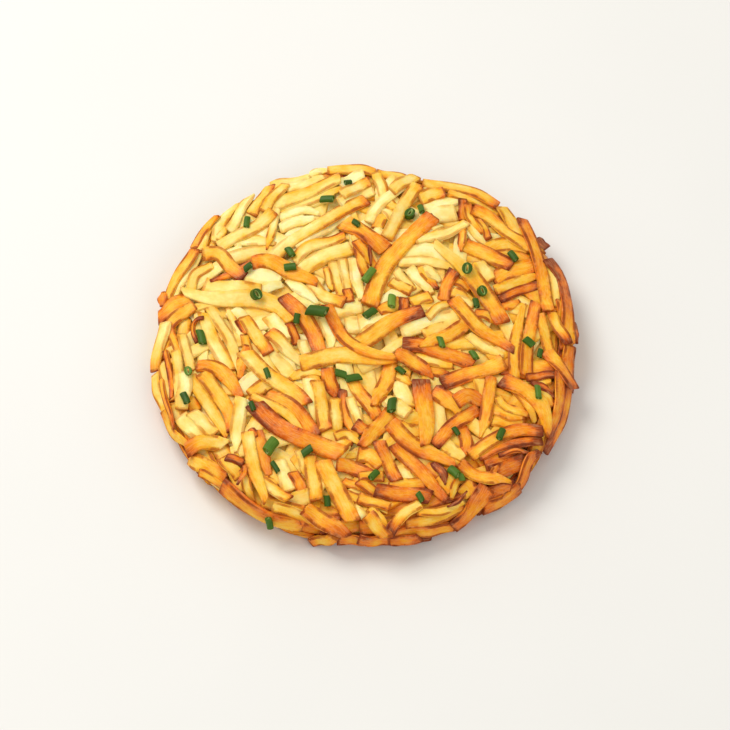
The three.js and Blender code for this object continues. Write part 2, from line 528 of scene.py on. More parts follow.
class Rest:
    """A strip at rest on the pile: its frames, how high its top stands and how much it leans."""

    def __init__(self, pile, points, width, thickness):
        self.path = smooth_path(points, STATIONS)
        ahead = unit(np.gradient(self.path, axis=0))
        self.sideways = np.stack((-ahead[:, 1], ahead[:, 0]), axis=1)
        self.width = width
        up = skin_normal(self.path)
        self.level = unit(np.cross(up, np.gradient(skin(self.path), axis=0)))
        reach = np.linspace(-FEELER_SPREAD, FEELER_SPREAD, FEELERS) * width
        feelers = self.path[:, None] + self.sideways[:, None] * reach[None, :, None]
        found = pile.feel(feelers) - gap_under(self.path, self.level, feelers, reach)
        lean = soften((found * reach).sum(axis=1) / (reach**2).sum(), SOFTNESS)
        self.lean = np.clip(lean, -MOST_LEAN, MOST_LEAN)
        bed = np.percentile(found - self.lean[:, None] * reach, BED_SHARE, axis=1)
        bed = bed - PRESSED_SHARE * thickness
        rest = bed
        for _ in range(SOFTNESS):
            rest = np.maximum(bed, soften(rest))
        rest = np.maximum(soften(rest, 2), 0)
        self.top = rest + thickness
        self.middle = skin(self.path) + up * (rest + thickness / 2)[:, None]
        self.along = unit(np.gradient(self.middle, axis=0))
        tilt = np.arctan(self.lean)[:, None]
        self.across = unit(np.cross(up, self.along)) * np.cos(tilt) + up * np.sin(tilt)
        self.up = unit(np.cross(self.along, self.across))

    def frames(self):
        return self.middle, self.along, self.across, self.up

    def raise_pile(self, pile):
        """Raises the pile to the strip's top, at points closer together than its cells."""
        fine = np.linspace(0, 1, max(int(walked(self.path)[-1] / CELL * CELL_FILL), 2))
        reach = np.linspace(-0.5, 0.5, max(int(self.width / CELL * CELL_FILL), 3)) * self.width
        path = at_shares(fine, self.path)
        sideways = at_shares(fine, self.sideways)
        places = path[:, None] + sideways[:, None] * reach[None, :, None]
        top, lean = at_shares(fine, np.stack((self.top, self.lean), axis=1)).T
        heights = top[:, None] + lean[:, None] * reach
        gap = gap_under(path, unit(at_shares(fine, self.level)), places, reach)
        pile.build_up(places, heights + gap)


# %% [markdown]
# ## Patterns of strips
# A grater leaves straight bars with square corners, cut square, aslant or to a point. Each kind is
# modelled once as a pattern: a cube is added at the strip's size, its long edges are bevelled and
# cut into steps that can bend, both ends are drawn out by a short collar that keeps them crisp,
# and then narrowed or slanted. The strips are copies of these patterns, bent along their lines. A
# tube along a curve would be quicker, but its ends and corners would all look the same.

# %% Picking by a test
NEARLY_ALL = 0.98
HALF_TURNED = 0.5


def pick(piece, kind, test):
    """Opens a piece in edit mode with the vertices, edges or faces picked that pass a test."""
    bpy.ops.object.mode_set(mode="OBJECT")
    mesh = piece.data
    for element in (*mesh.vertices, *mesh.edges, *mesh.polygons):
        element.select = False
    bpy.context.tool_settings.mesh_select_mode = (kind == "vertices", kind == "edges", kind == "faces")
    elements = {"vertices": mesh.vertices, "edges": mesh.edges, "faces": mesh.polygons}[kind]
    for element in elements:
        element.select = test(mesh, element)
    bpy.ops.object.mode_set(mode="EDIT")


def is_any(mesh, element):
    return True


def is_long(mesh, edge):
    a, b = (mesh.vertices[i].co for i in edge.vertices)
    return abs(a.x - b.x) > NEARLY_ALL * (b - a).length


def at_end(side):
    """A test for the end face on one side."""
    def test(mesh, face):
        return face.normal.x * side > NEARLY_ALL
    return test


def facing_end(side, distance):
    """A test for faces that close one end, beyond a distance from the middle."""
    def test(mesh, face):
        return abs(face.normal.x) > HALF_TURNED and face.center.x * side > distance
    return test


def beyond(side, distance, hand=0):
    """A test for corners beyond a distance from the middle, on one hand of the strip or both."""
    def test(mesh, vertex):
        return vertex.co.x * side > distance and vertex.co.y * hand >= 0
    return test


# %% Finish of a pattern
BAKE_MAP = "OFBake"
UNFOLD_ANGLE = math.radians(60)
UNFOLD_GAP = 0.03


def finish_pattern(piece, attributes):
    """Turns a pattern's faces outwards, unfolds them for baked colour and adds its attributes."""
    pick(piece, "faces", is_any)
    bpy.ops.mesh.normals_make_consistent(inside=False)
    bpy.ops.uv.smart_project(angle_limit=UNFOLD_ANGLE, island_margin=UNFOLD_GAP)
    bpy.ops.object.mode_set(mode="OBJECT")
    piece.data.uv_layers[0].name = BAKE_MAP
    for attribute in attributes:
        piece.data.attributes.new(attribute, "FLOAT_VECTOR", "POINT")
    return piece


# %% Strip patterns
PATTERN_LENGTH = 45 * MM
PATTERN_WIDTH = 6.5 * MM
PATTERN_THICKNESS = 3.2 * MM
CORNER = 0.45 * MM
COLLAR = 0.9 * MM
BENDS = 6
THINNING = 0.5
END_BULGE = 0.3


def strip_pattern(name, narrow=(0.9, 0.9), slant=(0, 0), reach=(1, 1)):
    """A pattern strip. For its first and its last end, narrow says how wide the end is, slant how
    far one corner is cut back, and reach over how many rings the strip narrows."""
    bpy.ops.object.select_all(action="DESELECT")
    bpy.ops.mesh.primitive_cube_add(size=1)
    piece = bpy.context.object
    piece.name = name
    body = PATTERN_LENGTH - 2 * COLLAR
    piece.scale = (body, PATTERN_WIDTH, PATTERN_THICKNESS)
    bpy.ops.object.transform_apply(location=True, rotation=True, scale=True)
    pick(piece, "edges", is_long)
    bpy.ops.mesh.bevel(offset=CORNER, segments=1, affect="EDGES")
    pick(piece, "edges", is_long)
    bpy.ops.mesh.subdivide(number_cuts=BENDS)
    step = body / (BENDS + 1)
    for side, width, lean, rings in zip((-1, 1), narrow, slant, reach):
        pick(piece, "faces", at_end(side))
        draw_out = {"value": (side * COLLAR, 0, 0)}
        bpy.ops.mesh.extrude_region_move(TRANSFORM_OT_translate=draw_out)
        for ring in range(rings):
            pick(piece, "vertices", beyond(side, body / 2 - (ring + 0.5) * step))
            narrowing = width ** (1 / rings)
            thinning = 1 - THINNING + THINNING * narrowing
            bpy.ops.transform.resize(value=(1, narrowing, thinning))
        pick(piece, "vertices", beyond(side, body / 2 - step / 2, math.copysign(1, lean)))
        bpy.ops.transform.translate(value=(-side * abs(lean) * PATTERN_WIDTH, 0, 0))
        pick(piece, "faces", facing_end(side, body / 2 - step))
        bpy.ops.mesh.inset(thickness=CORNER, depth=CORNER * END_BULGE)
    return finish_pattern(piece, ("grain", "half", "tone"))


PATTERNS = {
    "square": strip_pattern("square_strip", narrow=(0.94, 0.9), slant=(0.1, 0.12)),
    "slanted": strip_pattern("slanted_strip", narrow=(0.95, 0.9), slant=(0.5, -0.45)),
    "tapered": strip_pattern("tapered_strip", narrow=(0.9, 0.5), reach=(1, 3), slant=(0.2, 0.4)),
    "pointed": strip_pattern("pointed_strip", narrow=(0.85, 0.22), reach=(1, 2), slant=(0.3, 0.2)),
    "spindle": strip_pattern("spindle_strip", narrow=(0.4, 0.35), reach=(2, 3)),
}
print("faces in a strip:", len(PATTERNS["square"].data.polygons))

# %% [markdown]
# ## One strip from a pattern
# A copy of a pattern is bent by moving each of its corners: the share of the strip's length says
# which station of the laid line it belongs to, and the rest says how far across and up. Each copy
# also remembers, for its material, where each point is in the strip, how big the strip is, and how
# brown it is fried. A slow wave in the width keeps two strips from looking alike.

# %% Corners and their attributes
def corners_of(mesh):
    corners = np.empty(len(mesh.vertices) * 3)
    mesh.vertices.foreach_get("co", corners)
    return corners.reshape(-1, 3)


def set_vectors(mesh, name, *columns):
    count = len(mesh.vertices)
    vectors = np.stack([np.broadcast_to(column, count) for column in columns], axis=1)
    mesh.attributes[name].data.foreach_set("vector", vectors.astype(np.float32).ravel())


def put_in_scene(name, mesh):
    copy = bpy.data.objects.new(name, mesh)
    bpy.context.scene.collection.objects.link(copy)
    return copy


# %% Bend a copy
LEAST_HEIGHT = 0.25 * MM
WAVE = 0.06
WAVE_TURNS = 7
RIPPLE = WAVE / 2
RIPPLE_TURNS = 15
SWAY = 0.04
SWAY_TURNS = 9
STRIP_SEEDS = 100
rng = np.random.default_rng(20)


def bent_copy(kind, frames, width, thickness, browning, toast=1.0):
    """A strip along laid frames. Browning is from 0 to 1, at even steps along the strip."""
    middle, along, across, up = frames
    mesh = PATTERNS[kind].data.copy()
    corners = corners_of(mesh)
    share = corners[:, 0] / PATTERN_LENGTH + 0.5
    phases = rng.uniform(0, 2 * math.pi, 3)
    wave = 1 + WAVE * np.sin(share * WAVE_TURNS + phases[0])
    wave = wave + RIPPLE * np.sin(share * RIPPLE_TURNS + phases[1])
    side = corners[:, 1] / PATTERN_WIDTH * width * wave
    sway = width * SWAY * np.sin(share * SWAY_TURNS + phases[2])
    rise = corners[:, 2] / PATTERN_THICKNESS * thickness
    place = at_shares(share, middle)
    place = place + unit(at_shares(share, across)) * (side + sway)[:, None]
    place = place + unit(at_shares(share, up)) * rise[:, None]
    length = walked(middle)[-1]
    past_end = np.clip(share - 1, 0, None) + np.clip(share, None, 0)
    place = place + unit(at_shares(share, along)) * (past_end * length)[:, None]
    place[:, 2] = np.maximum(place[:, 2], LEAST_HEIGHT)
    mesh.vertices.foreach_set("co", place.ravel())
    set_vectors(mesh, "grain", (share - 0.5) * length / MM, side / MM, rise / MM)
    set_vectors(mesh, "half", length / 2 / MM, width / 2 / MM, thickness / 2 / MM)
    fried = np.interp(share, np.linspace(0, 1, len(browning)), browning)
    set_vectors(mesh, "tone", fried, rng.uniform(0, STRIP_SEEDS), toast)
    return put_in_scene("strip", mesh)


# %% [markdown]
# ## Joining strips into pieces
# Strips of one kind are joined into one piece. Each strip gets a cell of its own on the piece's
# map for baked colour, so no two strips share a spot of it. One level of subdivision then rounds
# the bends and corners, and normals weighted by area keep the broad cut faces flat.

# %% Join
BAKE_GAP = 0.02
FLATNESS = 80


def give_cells(copies):
    """Moves each copy's part of the map for baked colour into a cell of its own."""
    grid = math.ceil(math.sqrt(len(copies)))
    for i, copy in enumerate(copies):
        uv = copy.data.uv_layers[BAKE_MAP].data
        flat = np.empty(len(uv) * 2)
        uv.foreach_get("uv", flat)
        cell = np.array((i % grid, i // grid))
        flat = (flat.reshape(-1, 2) * (1 - 2 * BAKE_GAP) + BAKE_GAP + cell) / grid
        uv.foreach_set("uv", flat.ravel())


def join_copies(name, copies, material):
    """One finished piece from copies of a pattern."""
    give_cells(copies)
    bpy.ops.object.select_all(action="DESELECT")
    for copy in copies:
        copy.select_set(True)
    bpy.context.view_layer.objects.active = copies[0]
    bpy.ops.object.join()
    piece = bpy.context.object
    piece.name = name
    piece.data.name = name
    rounding = piece.modifiers.new("rounding", "SUBSURF")
    rounding.levels = 1
    rounding.render_levels = 1
    bpy.ops.object.modifier_apply(modifier=rounding.name)
    bpy.ops.object.shade_smooth()
    flats = piece.modifiers.new("flats", "WEIGHTED_NORMAL")
    flats.weight = FLATNESS
    bpy.ops.object.modifier_apply(modifier=flats.name)
    piece.data.materials.clear()
    piece.data.materials.append(material)
    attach(piece, "root")
    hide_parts("rosti")
    print(name, len(copies), "copies,", len(piece.data.polygons) * 2, "triangles")
    return piece


# %% [markdown]
# ## Fried potato
# Potato flesh is pale cream where it lies deep, and turns yellow, gold, orange and brown as it
# fries. It browns first where it is thin and dry: along a strip's corners and at its cut tips,
# which end as fine dark lines. Freckles and streaks run along the strip, and hot oil leaves a soft
# sheen. All of this reads the strip's own measures, so it bends with the strip. A colour laid over
# the whole cake would run from strip to strip and make one surface of them.

# %% Shades of frying
CREAM = seen(253, 240, 174)
BUTTER = seen(253, 230, 144)
YELLOW_GOLD = seen(251, 209, 104)
GOLD = seen(249, 190, 54)
AMBER = seen(245, 166, 28)
ORANGE = seen(238, 140, 16)
RUST = seen(228, 116, 14)
BARK = seen(208, 96, 16)
DARK_CRUST = seen(148, 58, 14)
FRYING = (
    (0.0, CREAM), (0.12, BUTTER), (0.3, YELLOW_GOLD), (0.45, GOLD), (0.58, AMBER),
    (0.7, ORANGE), (0.8, RUST), (0.9, BARK), (1.0, DARK_CRUST),
)
TOASTING = (
    (0.1, seen(214, 156, 66)),
    (0.4, seen(190, 108, 30)),
    (0.7, seen(158, 72, 18)),
    (1.0, seen(110, 42, 12)),
)
PALE_FIBRE = seen(255, 236, 170)

# %% [markdown]
# Four patterns run through the flesh: slow clouds, a mottle, streaks along the fibres and fine
# specks. A fifth makes one side of a strip browner than the other, as it lay in the pan. Each
# strip has a seed, which moves the patterns so that no two strips show the same.

# %% Patterns in the flesh
# patches to a millimetre, detail, and roughness where it isn't the usual one
CLOUDS = (0.16, 2.0)
MOTTLE = (0.55, 3.0, 0.6)
STREAKS = (1.5, 2.0)
SPECKS = (1.7, 2.0, 0.6)
ONE_SIDE = (3.1, 0.0)
ONE_SIDE_SLICE = 0.5
FIBRE_STRETCH = 0.22
SEED_ACROSS = 7.0
SEED_UP = 3.0
MEAN_NOISE = 0.5

# %% [markdown]
# All that browns a strip is added up to one number, its heat, and a ramp turns heat into colour.
# Heat comes from how long the strip was fried, from the patterns, and from how near a point is to
# a corner or a tip. The dark lines at the corners and tips are laid over the colour at the end.

# %% Lines and glow: millimetres from the edge, where each starts and where it is full
CORNER_LINE = (0.5, 0.18)
CORNER_GLOW = (1.5, 0.3)
CORNER_RAGGED = 0.55
TIP_LINE = (1.1, 0.2)
TIP_GLOW = (7.0, 0.5)
TIP_RAGGED = 1.6

# %% How much each pattern adds to the browning
CLOUD_HEAT = 0.6
MOTTLE_HEAT = 0.2
SIDE_HEAT = 0.5
CORNER_HEAT = 0.1
TIP_HEAT = 0.22
PALE_TIP_HEAT = 0.03
FLECK_HEAT = 0.16

# %% Steps, from a start to an end, and from a low to a high value
FLECKS_START = (0.58, 0.72)
FRIED_FLECKS = (0.15, 0.5)
FIBRES_SHOW = (0.35, 0.75, 0.0, 0.16)
LINES_SHOW = (0.0, 0.4, 0.45, 0.9)
POTATO_ROUGHNESS = (0.3, 0.7, 0.36, 0.56)
LINE_ROUGHER = 0.12
OIL = (0.4, 0.65, 0.0, 0.12)
POTATO_RELIEF = (0.35, 0.35 * MM)
STREAK_RELIEF = 0.5
MOTTLE_RELIEF = 0.6
SPECK_RELIEF = 0.25
FLESH = {
    "IOR": 1.4,
    "Specular IOR Level": 0.18,
    "Subsurface Weight": 0.3,
    "Subsurface Radius": (1.0, 0.5, 0.12),
    "Subsurface Scale": 1.8 * MM,
    "Coat Roughness": 0.3,
}


# %% Potato material
def fried_potato(name):
    recipe = Recipe(name)
    along, across, up = recipe.parts(recipe.attribute("grain"))
    half_length, half_width, half_thickness = recipe.parts(recipe.attribute("half"))
    browning, seed, toast = recipe.parts(recipe.attribute("tone"))
    seeded = (across + seed * SEED_ACROSS, up + seed * SEED_UP)
    place = recipe.vector(along, *seeded)
    clouds = recipe.noise(place, *CLOUDS)
    mottle = recipe.noise(place, *MOTTLE)
    specks = recipe.noise(place, *SPECKS)
    streaks = recipe.noise(recipe.vector(along * FIBRE_STRETCH, *seeded), *STREAKS)
    lopsided = recipe.noise(recipe.vector(seed, ONE_SIDE_SLICE, ONE_SIDE_SLICE), *ONE_SIDE)

    side_gap = half_width - across.size()
    face_gap = half_thickness - up.size()
    corner_gap = (side_gap * side_gap + face_gap * face_gap) ** 0.5
    corner_gap = corner_gap + (mottle - MEAN_NOISE) * CORNER_RAGGED
    tip_gap = half_length - along.size() + (mottle - MEAN_NOISE) * TIP_RAGGED
    line = (recipe.step(corner_gap, *CORNER_LINE) * toast).most(recipe.step(tip_gap, *TIP_LINE) * toast)

    heat = browning + (clouds - MEAN_NOISE) * CLOUD_HEAT + (mottle - MEAN_NOISE) * MOTTLE_HEAT
    heat = heat + across / half_width * (lopsided - MEAN_NOISE) * SIDE_HEAT
    heat = heat + recipe.step(corner_gap, *CORNER_GLOW) * toast * CORNER_HEAT
    heat = heat + recipe.step(tip_gap, *TIP_GLOW) * (browning * TIP_HEAT + PALE_TIP_HEAT)
    fleck = recipe.step(specks, *FLECKS_START) * recipe.step(browning, *FRIED_FLECKS)
    heat = heat + fleck * FLECK_HEAT

    colour = recipe.ramp(FRYING, heat)
    colour = recipe.blend(recipe.step(streaks, *FIBRES_SHOW), colour, PALE_FIBRE)
    shown = line * recipe.step(browning, *LINES_SHOW)
    colour = recipe.blend(shown, colour, recipe.ramp(TOASTING, heat))
    bumps = streaks * STREAK_RELIEF + mottle * MOTTLE_RELIEF + specks * SPECK_RELIEF
    surface = {
        "Base Color": colour,
        "Roughness": recipe.step(mottle, *POTATO_ROUGHNESS) + line * LINE_ROUGHER,
        "Normal": recipe.relief(bumps, *POTATO_RELIEF),
        "Coat Weight": recipe.step(mottle, *OIL),
    }
    return recipe.finish({**surface, **FLESH})


potato = fried_potato("fried_potato")
print("nodes in the potato material:", len(potato.node_tree.nodes))

# %% [markdown]
# ## The soft body
# Under the strips is a body of softer potato. Little of it shows, only pale spots deep between
# the strips, but it keeps the cake solid. It is a ball, pushed out to the skin and roughened. The
# ball's lowest quarter closes it underneath.

# %% Soft potato
# patches to a metre, detail, and roughness where it isn't the usual one
LUMPS = (160.0, 3.0, 0.6)
GRAIN = (620.0, 2.0)
LUMP_SHADES = ((0.3, GOLD), (0.5, YELLOW_GOLD), (0.7, BUTTER))
GRAIN_RELIEF = 0.4
SOFT_RELIEF = (0.5, 0.6 * MM)
SOFT_ROUGHNESS = (0.3, 0.7, 0.4, 0.6)
SOFT_FLESH = {
    "Subsurface Weight": 0.25,
    "Subsurface Radius": (1.0, 0.6, 0.25),
    "Subsurface Scale": 2.0 * MM,
}


def soft_potato(name):
    recipe = Recipe(name)
    place = recipe.add("ShaderNodeTexCoord", out="Object")
    lumps = recipe.noise(place, *LUMPS)
    grain = recipe.noise(place, *GRAIN)
    surface = {
        "Base Color": recipe.ramp(LUMP_SHADES, lumps),
        "Roughness": recipe.step(grain, *SOFT_ROUGHNESS),
        "Normal": recipe.relief(lumps + grain * GRAIN_RELIEF, *SOFT_RELIEF),
    }
    return recipe.finish({**surface, **SOFT_FLESH})


# %% Core
CORE_SEGMENTS = 120
CORE_RINGS = 72
CORE_RISE = 0.5 * MM
CORE_FLOOR = 2.2 * MM
CORE_WRAP = 0.75
LUMP_SIZE = 6 * MM
LUMP_RELIEF = 1.4 * MM


def make_core():
    """The soft body, a ball whose corners are moved to the skin."""
    bpy.ops.object.select_all(action="DESELECT")
    bpy.ops.mesh.primitive_uv_sphere_add(segments=CORE_SEGMENTS, ring_count=CORE_RINGS, radius=1)
    core = bpy.context.object
    core.name = "potato_core"
    corners = corners_of(core.data)
    polar = np.arccos(np.clip(corners[:, 2], -1, 1)) / math.pi
    angle = np.arctan2(corners[:, 1], corners[:, 0])
    walk = np.clip(polar / CORE_WRAP, 0, 1) * profile_walk[-1]
    flat = np.stack((walk * np.cos(angle), walk * np.sin(angle)), axis=1)
    solid = skin(flat) + skin_normal(flat) * CORE_RISE
    under = np.clip((polar - CORE_WRAP) / (1 - CORE_WRAP), 0, 1)
    solid[:, :2] *= (1 - under)[:, None]
    solid[:, 2] = np.maximum(solid[:, 2], CORE_FLOOR)
    core.data.vertices.foreach_set("co", solid.ravel())
    texture = bpy.data.textures.new("lumps", "CLOUDS")
    texture.noise_scale = LUMP_SIZE
    relief = core.modifiers.new("relief", "DISPLACE")
    relief.texture = texture
    relief.strength = LUMP_RELIEF
    bpy.ops.object.modifier_apply(modifier=relief.name)
    bpy.ops.object.shade_smooth()
    core.data.materials.append(soft_potato("soft_potato"))
    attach(core, "root")
    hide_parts("rosti")
    print("the core has", len(core.data.vertices), "corners")


make_core()

# %% [markdown]
# ## The underside
# The side that was fried last lies on the table. Its strips were pressed flat against the pan, so
# they lie in one plane, tangled and evenly browned. They are spread as the seeds of a sunflower
# are, which covers a disc evenly, and near the edge they turn to follow it, so no end sticks out.

# %% Underside strips
UNDER_STRIPS = 96
UNDER_REACH = skin_radius - UNDERCUT - 3 * MM
UNDER_LENGTHS = (32 * MM, 54 * MM)
UNDER_BROWNING = (0.45, 0.78)
UNDER_DEPTH = 0.9 * MM
UNDER_TURN = 1.5
UNDER_BOW = 1.5 * MM
EDGE_STARTS = 0.6
EDGE_FOLLOWS = 0.75
EDGE_BOW = 3 * MM
WIDTHS = (4.5 * MM, 8 * MM)
THICKNESSES = (1.6 * MM, 2.5 * MM)
GOLDEN_ANGLE = math.pi * (3 - math.sqrt(5))
STRAIGHT_KINDS = ("square", "slanted", "square", "tapered")


def heading(angle):
    return np.array((math.cos(angle), math.sin(angle)))


def any_straight_kind():
    return STRAIGHT_KINDS[rng.integers(len(STRAIGHT_KINDS))]


def flat_frames(start, end, bow, height):
    """Frames of a strip that lies flat at a height and shows its face downwards."""
    path = smooth_path((start, (start + end) / 2 + bow, end), STATIONS)
    middle = np.column_stack((path, np.full(STATIONS, height)))
    along = unit(np.gradient(middle, axis=0))
    up = np.tile((0.0, 0.0, -1.0), (STATIONS, 1))
    return middle, along, unit(np.cross(up, along)), up


def under_strips():
    """Strips spread over the underside, each a little higher than the one before."""
    strips = []
    for i in range(UNDER_STRIPS):
        reach = UNDER_REACH * math.sqrt((i + 0.5) / UNDER_STRIPS)
        angle = i * GOLDEN_ANGLE
        centre = reach * heading(angle)
        near_edge = np.clip((reach / UNDER_REACH - EDGE_STARTS) / (1 - EDGE_STARTS), 0, 1)
        turn = rng.uniform(-UNDER_TURN, UNDER_TURN) * (1 - EDGE_FOLLOWS * near_edge)
        forward = heading(angle + math.pi / 2 + turn) * rng.uniform(*UNDER_LENGTHS) / 2
        inward = -centre / max(reach, MM)
        bow = inward * -near_edge * EDGE_BOW + rng.uniform(-UNDER_BOW, UNDER_BOW, 2)
        thickness = rng.uniform(*THICKNESSES)
        height = LEAST_HEIGHT + UNDER_DEPTH * i / UNDER_STRIPS + thickness / 2
        frames = flat_frames(centre - forward, centre + forward, bow, height)
        kind = any_straight_kind()
        brown = rng.uniform(*UNDER_BROWNING, 2)
        width = rng.uniform(*WIDTHS)
        strips.append(bent_copy(kind, frames, width, thickness, brown))
    return strips


join_copies("underside_strips", under_strips(), potato)

# %% [markdown]
# ## The bed and the side
# The first strips on the body are laid without a plan. Each goes where the pile is lowest so far,
# which is how a cook evens out a rosti, and it leaves no bare spot. Scattering them at random
# would need many more strips to cover as much. Round the side they follow the pan's wall. On the
# top they point any way, and stay pale, because later strips cover them.

# %% Survey of the pile
SURVEY = 6
survey_count = len(pile.heights) // SURVEY
survey_line = (np.arange(survey_count) + 0.5) * (SURVEY * CELL) - PILE_REACH
SURVEY_PLACES = np.stack(np.meshgrid(survey_line, survey_line, indexing="ij"), axis=-1)
SURVEY_REACH = np.hypot(SURVEY_PLACES[..., 0], SURVEY_PLACES[..., 1])
SURVEY_FACING = skin_normal(SURVEY_PLACES) @ -view_ahead


def survey():
    """The pile's mean height in each patch of the map."""
    side = survey_count * SURVEY
    patches = pile.heights[:side, :side].reshape(survey_count, SURVEY, survey_count, SURVEY)
    return patches.mean(axis=(1, 3))


# %% Browning and painted shade by place
# Painted shade: strips lying further this way, away from the key lamp, are painted browner.
BROWNING_AND_PAINTED_SHADE_WAY = unit(np.array((0.75, -0.65)))
BROWNING_AND_PAINTED_SHADE_SLOPE = 0.18
RIM_STARTS = 70 * MM
RIM_WIDTH = 18 * MM
RIM_BROWNING = 0.22


def browning_and_painted_shade_at(place):
    """How much browner than the middle a place of the map is painted: more towards the near right, away
    from the key lamp, which is painted shade with some browning, and more at the rim, where a rosti
    fries browner.
    """
    rim = np.clip((np.hypot(*place) - RIM_STARTS) / RIM_WIDTH, 0, 1)
    return BROWNING_AND_PAINTED_SHADE_SLOPE * (place @ BROWNING_AND_PAINTED_SHADE_WAY) / skin_radius + RIM_BROWNING * rim


# %% Strips into the lowest places
JITTER = 0.5 * MM
MOST_FILLING = 240
SAG_PARTS = 5
UNEVEN = 0.08
BROWNING_LIMITS = (0.03, 0.85)


def round_the_cake(centre, length, turn, turns, farthest):
    """Points of a strip at a centre, bowed to follow the rim unless it may turn any way. An arc
    bows by the square of its length over eight times its radius."""
    reach = max(np.hypot(*centre), MM)
    angle = math.atan2(centre[1], centre[0])
    forward = heading(angle + math.pi / 2 + turn) * length / 2
    inward = -centre / reach
    sag = inward * min(length**2 / (8 * reach), length / SAG_PARTS) * (1 - turns)
    points = np.array((centre - forward + sag, centre, centre + forward + sag))
    return points * np.minimum(1, farthest / np.hypot(*points.T))[:, None]


def fill_low_places(depth, region, turns, browning, lengths, farthest, widths=WIDTHS, toast=1.0):
    """Strips into the lowest places of a region, till the pile has this depth all over it.
    Turns 0 is round the cake, and 1 any way."""
    strips = []
    for _ in range(MOST_FILLING):
        heights = np.where(region, survey() + rng.uniform(0, JITTER, region.shape), np.inf)
        lowest = np.unravel_index(np.argmin(heights), region.shape)
        if heights[lowest] > depth:
            break
        centre = SURVEY_PLACES[lowest]
        turn = rng.uniform(-0.5, 0.5) * math.pi * turns
        length = rng.uniform(*lengths)
        points = round_the_cake(centre, length, turn, turns, farthest)
        width = rng.uniform(*widths)
        thickness = rng.uniform(*THICKNESSES)
        # painted shade towards the near right and real browning at the rim are added here
        fried = rng.uniform(*browning) + browning_and_painted_shade_at(centre)
        brown = np.clip(fried + rng.uniform(-UNEVEN, UNEVEN, 3), *BROWNING_LIMITS)
        kind = any_straight_kind()
        rest = Rest(pile, points, width, thickness)
        rest.raise_pile(pile)
        strips.append(bent_copy(kind, rest.frames(), width, thickness, brown, toast))
    heights = survey()[region] / MM
    print(len(strips), "strips laid, the pile is", round(heights.mean(), 1), "mm deep on average")
    return strips


# %% [markdown]
# The side is covered first, all round. Then the part of the wall that the camera doesn't see gets
# a second layer, because no strips are laid there one by one. The bed on the top comes last.

# %% Lay the side, the wall and the bed
SIDE_STARTS = 80 * MM
WALL_STARTS = 60 * MM
WALL_FACING = 0.05
BED_ENDS = 84 * MM
SIDE_LENGTHS = (20 * MM, 40 * MM)
BED_LENGTHS = (24 * MM, 48 * MM)
BED_WIDTHS = (5.5 * MM, 9 * MM)

on_skin = SURVEY_REACH < skin_end
side = dict(region=on_skin & (SURVEY_REACH > SIDE_STARTS), lengths=SIDE_LENGTHS, farthest=skin_end)
hidden = on_skin & (SURVEY_REACH > WALL_STARTS) & (SURVEY_FACING < WALL_FACING)
wall = dict(region=hidden, lengths=SIDE_LENGTHS, farthest=skin_end)
bed = dict(region=SURVEY_REACH < BED_ENDS, lengths=BED_LENGTHS, widths=BED_WIDTHS, farthest=BED_ENDS)

side_strips = fill_low_places(depth=1.0 * MM, turns=0.12, browning=(0.15, 0.5), **side)
wall_strips = fill_low_places(depth=2.3 * MM, turns=0.15, browning=(0.25, 0.6), **wall)
bed_strips = fill_low_places(depth=1.6 * MM, turns=1.0, browning=(0.14, 0.38), toast=0.35, **bed)
